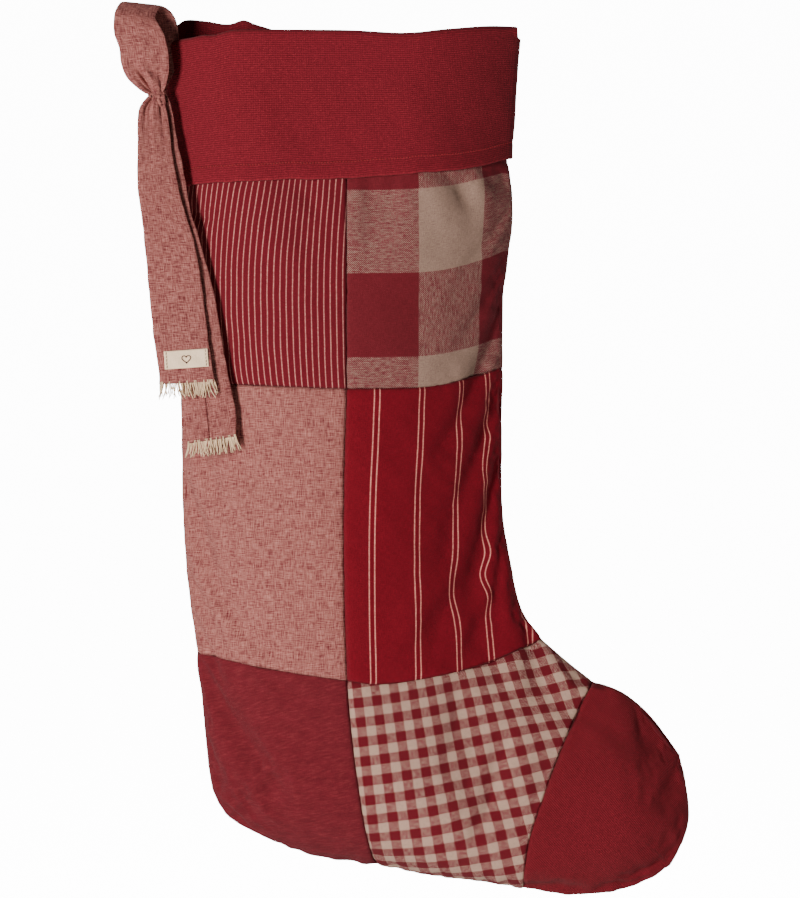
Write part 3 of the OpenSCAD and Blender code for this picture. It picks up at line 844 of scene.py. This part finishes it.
def make_back():
    """The back panel in one piece, smoothed over its whole grid."""
    quads = front_quads[:, ::-1]
    out = 0.6 * waves(back_shape, 55, 900) + 0.25 * waves(back_shape, 22, 901) + side_puckers(welded)
    verts = back_shape + vertex_normals(back_shape, quads) * out[:, None]
    laid = unrolled(welded)
    solid, faces, place, _ = thick_cloth(verts, quads, CLOTH_T, laid)
    piece = make_piece("back_panel_cloth", solid, faces, "stocking", "back_twill", "back_panel", place)
    smooth = piece.modifiers.new("smooth", "SUBSURF")
    smooth.levels = smooth.render_levels = 1


LINING_IN = 2.0
LINING_T = 0.6


def make_linings():
    """The two linings, a little inside the settled cloth and lower under the front's valleys."""
    laid = unrolled(welded)
    deeper = LINING_IN * smoothstep(-welded[:, 1], 130, 200)
    valley = np.minimum(folds_at(welded), 0)
    for name, shape, quads, low, seed in (("lining_front", front_shape, front_quads, valley, 39),
                                          ("lining_back", back_shape, front_quads[:, ::-1], 0, 41)):
        inwards = LINING_IN + deeper - low + 0.3 * waves(shape, 60, seed) * deeper
        inner = shape - vertex_normals(shape, quads) * inwards[:, None]
        solid, faces, place, _ = thick_cloth(inner, quads, LINING_T, laid)
        piece = make_piece(name + "_cloth", solid, faces, "stocking", "lining_cotton", name, place)


# ---------------------------------------------------------------- the cuff
CUFF_COLS = 150
CUFF_LEFT, CUFF_WIDTH = 15, 242.5
SEAM_TO_SEAM = 245
CUFF_T = 0.9
CUFF_OUT = 2.7
CUFF_IN = -3.2
FACING = 30
HEM_TURN = 13
HEM_UNDER = 1.3


def cuff_profile():
    """The cuff's section as (share of the way from top to hem, extra height, offset outwards)."""
    middle, radius = (CUFF_OUT + CUFF_IN) / 2, (CUFF_OUT - CUFF_IN) / 2
    path = [(0.0, -FACING * (1 - t) - radius * t, CUFF_IN) for t in np.linspace(0, 1, 12)[:-1]]
    for t in np.linspace(0, math.pi, 11):
        path.append((0.0, -radius + radius * math.sin(t), middle - radius * math.cos(t)))
    path += [(t, -radius * (1 - t), CUFF_OUT) for t in np.linspace(0, 1, 42)[1:]]
    turn = (CUFF_OUT - HEM_UNDER) / 2
    for t in np.linspace(0, math.pi, 7)[1:]:
        path.append((1.0, -turn * math.sin(t), HEM_UNDER + turn + turn * math.cos(t)))
    path += [(1.0, HEM_TURN * t, HEM_UNDER) for t in np.linspace(0, 1, 6)[1:]]
    return path


back_edge = even(LEG_BACK_UPPER, 60)
front_edge = even(LEG_FRONT_UPPER[::-1], 60)


def cuff_x(z, share):
    """x at this share of the way from the back edge to the front edge, at height z."""
    low = np.interp(-z, -back_edge[:, 1], back_edge[:, 0])
    high = np.interp(-z, -front_edge[:, 1], front_edge[:, 0])
    return low + (high - low) * share


def make_cuff(side):
    """One half of the folded cuff, with its facing inside and its hem: (its grid, its hem line)."""
    name = "cuff_front" if side < 0 else "cuff_back"
    x_share = (1 - np.cos(math.pi * np.linspace(0, 1, CUFF_COLS + 1))) / 2
    guess_x = CUFF_LEFT + CUFF_WIDTH * x_share
    top_line = even(CUFF_TOP_FRONT if side < 0 else CUFF_TOP_BACK, 120)
    hem_line = even(CUFF_HEM_FRONT if side < 0 else CUFF_HEM_BACK, 120)
    top = np.interp(guess_x, top_line[:, 0], top_line[:, 1])
    hem = np.interp(guess_x, hem_line[:, 0], hem_line[:, 1])
    hem = hem + 0.35 * waves(np.stack([guess_x, guess_x * 0], -1), 26, 61 + side)
    edge = np.minimum(x_share, 1 - x_share) * SEAM_TO_SEAM
    side_seam_groove = 0.8 * np.exp(-(edge / 0.7) ** 2)
    rows = []
    for share, extra, offset in cuff_profile():
        z = top + (hem - top) * share + extra
        flat = np.stack([cuff_x(z, x_share), z], -1)
        stand = offset
        if offset > 0:
            stand = offset + 0.9 * smoothstep(share, 0.3, 1.0)
            groove = 0.6 * np.exp(-((z - hem - HEM_STITCH_UP) / 1.1) ** 2)
            bulk = 0.25 * smoothstep(hem + HEM_STITCH_UP - z, -0.5, 0.5)
            dents = 0.6 * waves(np.stack([guess_x, z], -1), 75, 70 + side)
            dents += 0.2 * waves(np.stack([guess_x, z], -1), 24, 75 + side)
            stand = stand + (dents * smoothstep(share, 0.05, 0.4) - groove + bulk)
        rows.append(filled(flat, side, stand - side_seam_groove * (1 if offset > 0 else -1)))
    grid = np.array(rows)
    height = lengths(grid[:, CUFF_COLS // 2])
    laid = unrolled(np.stack(np.broadcast_arrays(guess_x, top), -1))[:, 0]
    cloth = np.stack(np.broadcast_arrays(laid[None, :], height[:, None]), -1).reshape(-1, 2)
    quads = grid_quads(grid)
    if side < 0:
        quads = quads[:, ::-1]
    solid, faces, place, _ = thick_cloth(grid.reshape(-1, 3), quads, CUFF_T, cloth)
    piece = make_piece(name + "_cloth", solid, faces, "stocking", "cuff_twill", name, place)
    return grid, hem


# ---------------------------------------------------------------- threads
THREAD_SIDES = 6


def tubes(paths, radius):
    """Round threads along several paths, as one mesh: (vertices, faces, places)."""
    verts, faces, places = [], [], []
    for path in paths:
        path = np.asarray(path, float)
        way = unit(np.gradient(path, axis=0))
        helper = np.array([0.0, 1.0, 0.0]) if abs(way[0][1]) < 0.9 else np.array([1.0, 0.0, 0.0])
        a = unit(np.cross(way, helper))
        b = np.cross(way, a)
        r = radius(len(path)) if callable(radius) else np.full(len(path), radius)
        first = sum(len(v) for v in verts)
        turn = np.linspace(0, 2 * math.pi, THREAD_SIDES, endpoint=False)
        ring = (path[:, None] + r[:, None, None] * (np.cos(turn)[None, :, None] * a[:, None]
                                                    + np.sin(turn)[None, :, None] * b[:, None]))
        verts.append(ring.reshape(-1, 3))
        s = lengths(path)
        places.append(np.column_stack([np.tile(turn, len(path)) + first, np.repeat(s, THREAD_SIDES)]))
        for start in range(first, first + (len(path) - 1) * THREAD_SIDES, THREAD_SIDES):
            for m in range(THREAD_SIDES):
                p, q = start + m, start + (m + 1) % THREAD_SIDES
                faces.append((p, q, q + THREAD_SIDES, p + THREAD_SIDES))
        last = first + (len(path) - 1) * THREAD_SIDES
        faces.append(tuple(first + m for m in reversed(range(THREAD_SIDES))))
        faces.append(tuple(last + m for m in range(THREAD_SIDES)))
    return np.vstack(verts), faces, np.vstack(places)


STITCH_PITCH, STITCH_LENGTH, STITCH_R, STITCH_BOW = 2.1, 1.5, 0.4, 0.35


def stitches_along(line, outward):
    """The paths of a row of stitches on the line, each bowed outwards in its middle."""
    s = lengths(line)
    paths = []
    for k in range(int(s[-1] / STITCH_PITCH)):
        at = (k + 0.5) * STITCH_PITCH + np.linspace(-0.5, 0.5, 5) * STITCH_LENGTH
        p, n = (np.column_stack([np.interp(at, s, v[:, c]) for c in range(3)]) for v in (line, outward))
        lift = STITCH_BOW * (1 - np.linspace(-1, 1, 5) ** 2) - 0.12
        paths.append(p + n * lift[:, None])
    return paths


def make_hem_stitches(cuffs):
    """The row of stitches round both cuffs, on the outer face of their cloth."""
    rows = [k for k, (_, _, offset) in enumerate(cuff_profile()) if offset == CUFF_OUT]
    paths = []
    for side, (grid, hem) in cuffs.items():
        part = grid[rows[0]:rows[-1] + 1]
        n = grid_normals(part)
        line, outward = [], []
        for c in range(part.shape[1]):
            row = np.interp(-(hem[c] + HEM_STITCH_UP), -part[:, c, 2], np.arange(len(part)))
            low = int(min(row, len(part) - 2))
            t = row - low
            line.append(part[low, c] * (1 - t) + part[low + 1, c] * t)
            outward.append(n[low, c])
        line, outward = np.array(line), np.array(outward)
        if (outward[:, 1].mean() > 0) != (side > 0):
            outward = -outward
        paths += stitches_along(line + outward * CUFF_T, outward)
    verts, faces, place = tubes(paths, STITCH_R)
    make_piece("cuff_hem_stitches", verts, faces, "stocking", "hem_thread", "cuff_hem_thread", place)


# ---------------------------------------------------------------- the hanging strip
STRIP_T = 2.2
STRIP_COLS = 44


def strip_solid(middle, across, outward, half, pleat, length_v):
    """A flattened linen tube: rounded at its two long edges, and pleated where pleat is high."""
    steps = np.linspace(-1, 1, STRIP_COLS + 1)
    w = np.sin(steps * math.pi / 2) * 0.5 + steps * 0.5
    thick = STRIP_T / 2 * (1 - np.abs(w) ** 7) ** 0.5
    folds = np.sin(w * math.pi * 1.9 + 0.9) + 0.3 * np.sin(w * math.pi * 5.3 + 1.9)
    base = (middle[:, None] + across[:, None] * (half[:, None] * w[None])[..., None]
            + outward[:, None] * (pleat[:, None] * folds[None])[..., None])
    face = grid_normals(base)
    flip = np.sign(np.sum(face * outward[:, None], axis=-1, keepdims=True).mean())
    face = face * flip
    top = base + face * thick[None, :, None]
    under = base - face * thick[None, :, None]
    ring = np.concatenate([top, under[:, -2:0:-1]], axis=1)
    rows, count = ring.shape[:2]
    ids = np.arange(rows * count).reshape(rows, count)
    caps = [ids[0].tolist(), ids[-1].tolist()]
    quads = quads_of(np.concatenate([ids, ids[:, :1]], axis=1))
    if flip > 0:
        quads = quads[:, ::-1]
        caps[1].reverse()
    else:
        caps[0].reverse()
    u = np.concatenate([w, w[-2:0:-1]]) * STRIP_WIDTH / 2
    side = np.concatenate([np.zeros(len(w)), np.full(len(w) - 2, 300.0)])
    place = np.stack(np.broadcast_arrays((u + side)[None, :], length_v[:, None]), -1).reshape(-1, 2)
    return ring.reshape(-1, 3), quads.tolist() + caps, place


TAIL_STEPS = 110


def tail(name, left, right, depth, seed):
    """A hanging end of the strip: (piece, middle line, ways across and outwards, half width)."""
    l, r = even(left, TAIL_STEPS), even(right, TAIL_STEPS)
    y_line = even(depth, 80)
    x, z = (l + r).T / 2
    middle = np.column_stack([x, np.interp(-z, -y_line[:, 0], y_line[:, 1]), z])
    span = r - l
    half = np.linalg.norm(span, axis=1) / 2
    across = unit(np.column_stack([span[:, 0], np.zeros(TAIL_STEPS + 1), span[:, 1]]))
    outward = unit(np.cross(across, unit(np.gradient(middle, axis=0))))
    outward *= -np.sign(outward[:, 1:2])
    s = lengths(middle)
    pleat = 1.7 * np.exp(-(s / 13) ** 2) + 0.8 * np.exp(-(s / 36) ** 2)
    sway = 0.8 * waves(np.stack([s, s * 0], -1), 60, seed)
    middle = middle + outward * (sway * smoothstep(s, 20, 50))[:, None]
    verts, faces, place = strip_solid(middle, across, outward, half, pleat, s)
    verts = verts + 0.18 * (waves(verts, 15, seed + 3) * np.array([1, 0, 0])[:, None]).T
    piece = make_piece(name + "_cloth", verts, faces, None, "strip_linen", name, place)
    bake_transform(piece)
    return piece, middle, across, outward, half


# The loop's two long edges as [x, y, z] from the gather's middle, up in front, over the top and down behind
LOOP_LEFT = [(-2.5, -3.5, 0), (-8, -4.5, 1.2), (-13, -5.8, 4.5), (-20, -8, 11.5), (-23.6, -10, 21),
             (-24.8, -11, 31), (-28.2, -11.5, 41), (-28.6, -10.5, 50), (-27.6, -7.5, 57.5), (-24, 0, 63.8),
             (-21, 5, 59.5), (-19, 8, 50), (-16, 8.5, 37), (-10, 6.5, 20), (-3.5, 3.5, 3)]
LOOP_RIGHT = [(5, -3.5, 1), (7, -4.6, 5), (8.4, -6, 9), (9.8, -8.2, 15), (9.9, -9.2, 23), (9.0, -9.5, 31),
              (7, -9.5, 39.5), (3.2, -9, 47), (0.3, -6, 53), (3.5, 2, 60.6), (9.5, 9, 59), (14, 13, 52),
              (15.6, 14, 41), (14.6, 11.5, 22), (6.5, 4, 3)]
TUCK = np.array([-6.5, 11.5])


TUCK_WAY, TUCK_ACROSS = np.array([0.62, -0.78]), np.array([0.78, 0.62])
LOOP_STEPS = 160


def make_loop():
    """The hanging loop, from the gather up in front, over and down behind."""
    spacing = np.linspace(0, 1, len(LOOP_LEFT))
    share = np.linspace(0, 1, LOOP_STEPS + 1)
    left, right = (even_by(np.array(points, float), spacing, share) for points in (LOOP_LEFT, LOOP_RIGHT))
    middle = (left + right) / 2
    half = np.linalg.norm(right - left, axis=1) / 2
    across = (right - left) / (2 * half[:, None])
    s = lengths(middle)
    outward = unit(np.cross(unit(np.gradient(middle, s, axis=0)), across))
    if outward[LOOP_STEPS // 5, 1] > 0:
        outward = -outward
    up = middle[:, 2]
    pleat = 1.5 * np.exp(-(up / 10) ** 2) + 0.5 * np.exp(-(up / 26) ** 2)
    verts, faces, place = strip_solid(middle, across, outward, half, pleat, s)
    # the tuck that runs down to the knot, and a few soft dents
    p = verts[:, [0, 2]] - TUCK
    along, off = p @ TUCK_WAY, p @ TUCK_ACROSS
    tuck = 5.0 * np.exp(-((off + 1.2) / 1.6) ** 2) - 3.0 * np.exp(-((off - 2.2) / 2.2) ** 2)
    tuck *= np.exp(-(along / 8) ** 2) * smoothstep(-verts[:, 1], 0, 5)
    verts[:, 1] += tuck + 0.5 * waves(verts, 22, 333)
    verts = verts + np.array(GATHER)
    piece = make_piece("hanging_loop_cloth", verts, faces, None, "strip_linen", "hanging_loop", place)
    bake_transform(piece)
    return piece


def sphere(rings, sides):
    """The points of a unit sphere and its faces."""
    high = np.linspace(0, math.pi, rings + 1)[1:-1]
    turn = np.linspace(0, 2 * math.pi, sides, endpoint=False)
    across = [np.outer(np.sin(high), trig(turn)) for trig in (np.cos, np.sin)]
    body = np.stack([*across, np.outer(np.cos(high), np.ones(sides))], -1).reshape(-1, 3)
    points = np.vstack([body, [[0, 0, 1], [0, 0, -1]]])
    ids = np.arange(len(body)).reshape(-1, sides)
    ids = np.hstack([ids, ids[:, :1]])
    faces = quads_of(ids).tolist()
    north, south = len(body), len(body) + 1
    faces += [[north, int(ids[0, k]), int(ids[0, k + 1])] for k in range(sides)]
    faces += [[south, int(ids[-1, k + 1]), int(ids[-1, k])] for k in range(sides)]
    return points, faces


WRAP_R, WRAP_THICK, WRAP_TALL = 3.9, 1.9, 3.3
LUMP_SIZE, LUMP_AT = np.array([4.6, 3.0, 5.2]), np.array([2.4, -5.2, -5.6])


def make_wrap():
    """The turns of linen round the gather: a puckered ring."""
    turns, sides = 96, 20
    a = np.linspace(0, 2 * math.pi, turns, endpoint=False)
    t = np.linspace(0, 2 * math.pi, sides, endpoint=False)
    fold = 1 + 0.10 * np.sin(a * 9) + 0.07 * np.sin(a * 17 + 1)
    far = WRAP_R + WRAP_THICK * fold[:, None] * np.cos(t)[None]
    x = far * np.cos(a)[:, None] * 1.12 + 1.2
    y = far * np.sin(a)[:, None]
    z = WRAP_TALL * np.sin(t)[None] * fold[:, None] + 0.9 * np.sin(a * 2 + 0.5)[:, None]
    ring = np.stack([x, y, z], -1).reshape(-1, 3)
    ids = np.arange(turns * sides).reshape(turns, sides)
    ids = np.vstack([ids, ids[:1]])
    ids = np.hstack([ids, ids[:, :1]])
    faces = quads_of(ids)[:, ::-1].tolist()
    place = np.stack(np.broadcast_arrays((a * 7)[:, None], (t * 3)[None, :]), -1).reshape(-1, 2)
    # the crinkled end of the turns, tucked under in front
    ball, lump_faces = sphere(26, 36)
    crinkle = 1 + 0.16 * waves(ball * 10, 7, 512) + 0.10 * np.sin(ball[:, 0] * 9 + ball[:, 2] * 3)
    lump = ball * crinkle[:, None] * LUMP_SIZE + LUMP_AT
    faces += [[v + len(ring) for v in face] for face in lump_faces]
    verts = np.vstack([ring, lump]) + np.array(GATHER)
    place = np.vstack([place, lump[:, [0, 2]]])
    make_piece("gather_wrap_cloth", verts, faces, "stocking", "strip_linen", "gather_wrap", place)


YARNS = 64
YARN_LENGTH = 11.0
YARN_R = 0.52


def make_fringe(body, end, across, half, seed):
    """Loose yarns spread through the strip's end, splaying apart and thinner at their tips."""
    draw = np.random.default_rng(seed)
    paths = []
    for k in range(YARNS):
        w = (k + 0.5) / YARNS * 2 - 1 + draw.uniform(-0.02, 0.02)
        root = end + across * half * w * 0.98 + np.array([0, draw.uniform(-0.9, 0.9), 1.6])
        long = YARN_LENGTH * draw.uniform(0.75, 1.15)
        lean = draw.normal(0, 0.12) + 0.30 * w * abs(w) ** 3 + 0.10
        t = np.linspace(0, 1, 8)[:, None]
        curl = draw.normal(0, 1.2, 3) * np.array([1, 0.7, 0.2])
        twist = draw.normal(0, 0.6, 3) * np.array([1, 0.8, 0])
        sway = t**2 * curl + np.sin(t * 5 + k) * t * twist * 0.5
        paths.append(root + t * np.array([lean * long, 0, -long]) + sway)
    verts, faces, place = tubes(paths, lambda n: YARN_R * np.linspace(1, 0.5, n))
    return make_piece(body + "_threads", verts, faces, body, "fringe_thread", body + "_fringe", place)


LABEL_Z = -246
LABEL_W, LABEL_H = 30.5, 12.6
LABEL_T = 0.5
LABEL_RIGHT = 1.6
LABEL_TILT = -4
LABEL_SEW_IN = LABEL_W / 2 - 1.6


def make_label(middle, outward):
    """The sewn tape, its stitches and its small heart, laid on the front tail."""
    at = int(np.argmin(np.abs(middle[:, 2] - LABEL_Z)))
    n = outward[at]
    centre = middle[at] + n * (STRIP_T / 2 + 0.75) + np.array([LABEL_RIGHT, 0, 0])
    tilt = math.radians(LABEL_TILT)
    right = np.array([math.cos(tilt), 0, -math.sin(tilt)])
    up = np.cross(right, n)
    up = up if up[2] > 0 else -up
    cols, rows = 40, 16
    a = np.linspace(-0.5, 0.5, cols + 1) * LABEL_W
    b = np.linspace(0.5, -0.5, rows + 1) * LABEL_H
    aa, bb = np.meshgrid(a, b)
    lift = 0.25 * waves(np.stack([aa, bb], -1), 14, 400)
    lift -= 0.35 * np.exp(-((np.abs(aa) - LABEL_SEW_IN) / 0.7) ** 2)
    lift -= 0.35 * (np.abs(aa) > LABEL_W / 2 - 0.5) + 0.2 * (np.abs(bb) > LABEL_H / 2 - 0.4)
    verts = centre + aa[..., None] * right + bb[..., None] * up + lift[..., None] * n
    flat = np.stack([aa, bb], -1).reshape(-1, 2)
    solid, faces, place, _ = thick_cloth(verts.reshape(-1, 3), grid_quads(verts), LABEL_T, flat)
    tape = make_piece("label_tape", solid, faces, "front_tail", "label_tape", "label", place)

    paths = []
    t = np.linspace(-1, 1, 5)[:, None]
    bow = 0.35 * (1 - t**2) + 0.02
    for end in (-1, 1):
        for row in (2, 1, 0, -1, -2):
            x, high = end * LABEL_SEW_IN + 0.12 * t, row * 2.35 + 0.8 * t
            paths.append(centre + x * right + high * up + bow * n)
    verts, faces, place = tubes(paths, 0.22)
    make_piece("label_end_stitches", verts, faces, "front_tail", "label_thread", "label_stitches", place)

    t = np.linspace(0, 2 * math.pi, 33)
    x = 3.1 * np.sin(t) ** 3
    high = 3.0 * (13 * np.cos(t) - 5 * np.cos(2 * t) - 2 * np.cos(3 * t) - np.cos(4 * t)) / 16
    path = centre + x[:, None] * right + high[:, None] * up + 0.42 * n
    verts, faces, place = tubes([path], 0.3)
    make_piece("label_heart", verts, faces, "front_tail", "motif_thread", "label_motif", place)


# ---------------------------------------------------------------- seams in thread
SEAM_THREAD_R = 0.25
SEAM_THREAD_IN = 1.9
SIDE_THREAD_IN = 1.6


def on_front(flat, inwards):
    """Points of the settled front nearest to [x, z], moved inwards."""
    n = vertex_normals(front_shape, front_quads)
    if n[:, 1].mean() > 0:
        n = -n
    out = []
    for p in flat:
        gap = np.linalg.norm(welded - p, axis=1)
        near = np.argsort(gap)[:4]
        weight = 1 / (gap[near] + 0.05) ** 2
        weight /= weight.sum()
        spot = np.array([p[0], weight @ front_shape[near, 1], p[1]])
        out.append(spot - unit(weight @ n[near]) * inwards)
    return np.array(out)


def make_seam_threads():
    """The thin lines of thread at the bottom of each seam's valley."""
    lines = {
        "centre_seam_thread": CENTRE_A[1:] + CENTRE_B[1:] + CENTRE_C[1:],
        "upper_seam_thread": UPPER_A + UPPER_B[1:],
        "lower_seam_thread": LOWER_A + LOWER_B[1:],
        "toe_seam_thread": TOE_SEAM,
    }
    paths = {name: on_front(even(points, 220)[2:-2], SEAM_THREAD_IN) for name, points in lines.items()}
    ring = side_seam[::2]
    tangent = unit(np.gradient(ring, axis=0))
    ring = ring + np.stack([-tangent[:, 1], tangent[:, 0]], -1) * SIDE_THREAD_IN
    paths["side_seam_thread"] = np.column_stack([ring[:, 0], np.full(len(ring), MID_Y), ring[:, 1]])
    for name, path in paths.items():
        verts, faces, place = tubes([path], SEAM_THREAD_R)
        make_piece(name + "_line", verts, faces, "stocking", "seam_thread", name, place)


make_patches()
make_back()
make_linings()
cuffs = {side: make_cuff(side) for side in (-1, 1)}
make_hem_stitches(cuffs)
make_seam_threads()
loop = make_loop()
make_wrap()
front, f_mid, f_across, f_out, f_half = tail(
    "front_tail", FRONT_TAIL_LEFT, FRONT_TAIL_RIGHT, FRONT_TAIL_DEPTH, 21)
rear, r_mid, r_across, _, r_half = tail("rear_tail", REAR_TAIL_LEFT, REAR_TAIL_RIGHT, REAR_TAIL_DEPTH, 31)
front_fringe = make_fringe("front_tail", f_mid[-1], f_across[-1], f_half[-1], 5)
rear_fringe = make_fringe("rear_tail", r_mid[-1], r_across[-1], r_half[-1], 6)
make_label(f_mid, f_out)

# ---------------------------------------------------------------- the CAD nodes that stay
for node in ("anchor_thread", "rear_tail_seam"):
    for slot in frame["nodes"][node].material_slots:
        slot.material = MATERIALS["seam_thread"]

# ---------------------------------------------------------------- the studio
CENTRE = Vector((177.8, 0, -308.7)) * MM
FRAME_HEIGHT = 628.6 * MM
DISTANCE = 4.0
cam = bpy.data.cameras.new("camera")
cam.sensor_width = 36
cam.lens = cam.sensor_width * (DISTANCE + MID_Y * MM) / FRAME_HEIGHT
cam.clip_end = 30
camera = bpy.data.objects.new("camera", cam)
camera.location = CENTRE + Vector((0, -DISTANCE, 0))
camera.rotation_euler = (math.pi / 2, 0, 0)
bpy.context.scene.collection.objects.link(camera)
bpy.context.scene.camera = camera


def area_light(name, place, size, power):
    data = bpy.data.lights.new(name, "AREA")
    data.shape = "RECTANGLE"
    data.size, data.size_y = size
    data.energy = power
    obj = bpy.data.objects.new(name, data)
    obj.location = place
    obj.rotation_euler = (CENTRE - Vector(place)).to_track_quat("-Z", "Y").to_euler()
    bpy.context.scene.collection.objects.link(obj)


area_light("key", (-1.2, -2.2, -0.2), (0.5, 0.7), 108)
area_light("side", (1.25, -0.3, -1.0), (0.4, 0.6), 4.4)
area_light("rear_left", (-1.6, 1.9, 0.3), (1.0, 1.4), 28)
area_light("rear_right", (2.3, 1.9, 0.3), (1.0, 1.4), 28)
world = bpy.data.worlds.new("studio")
world.use_nodes = True
world.node_tree.nodes["Background"].inputs[0].default_value = (1, 1, 1, 1)
world.node_tree.nodes["Background"].inputs[1].default_value = 0.06
bpy.context.scene.world = world


def plain_surface(name, corners, colour, glow):
    """One flat part of the studio."""
    mesh = bpy.data.meshes.new(name)
    mesh.from_pydata(corners, [], [(0, 1, 2, 3)])
    material = bpy.data.materials.new(name)
    material.use_nodes = True
    shader = material.node_tree.nodes["Principled BSDF"]
    shader.inputs["Base Color"].default_value = (*colour, 1)
    shader.inputs["Roughness"].default_value = 1
    shader.inputs["Emission Color"].default_value = (1, 1, 1, 1)
    shader.inputs["Emission Strength"].default_value = glow
    mesh.materials.append(material)
    obj = bpy.data.objects.new(name, mesh)
    bpy.context.scene.collection.objects.link(obj)


FLOOR_Z, FLOOR_HALF = -1.2, 12.0
CARD_Y = 6.0
CARD_HALF = 0.62 * FRAME_HEIGHT * (1 + CARD_Y / DISTANCE)
CORNERS = ((-1, -1), (1, -1), (1, 1), (-1, 1))
plain_surface("floor", [(x * FLOOR_HALF, y * FLOOR_HALF, FLOOR_Z) for x, y in CORNERS], (0.8, 0.8, 0.8), 0)
card = [(CENTRE.x + x * CARD_HALF, CARD_Y, CENTRE.z + z * CARD_HALF) for x, z in CORNERS]
plain_surface("backdrop", card, (0.9, 0.9, 0.9), 13)
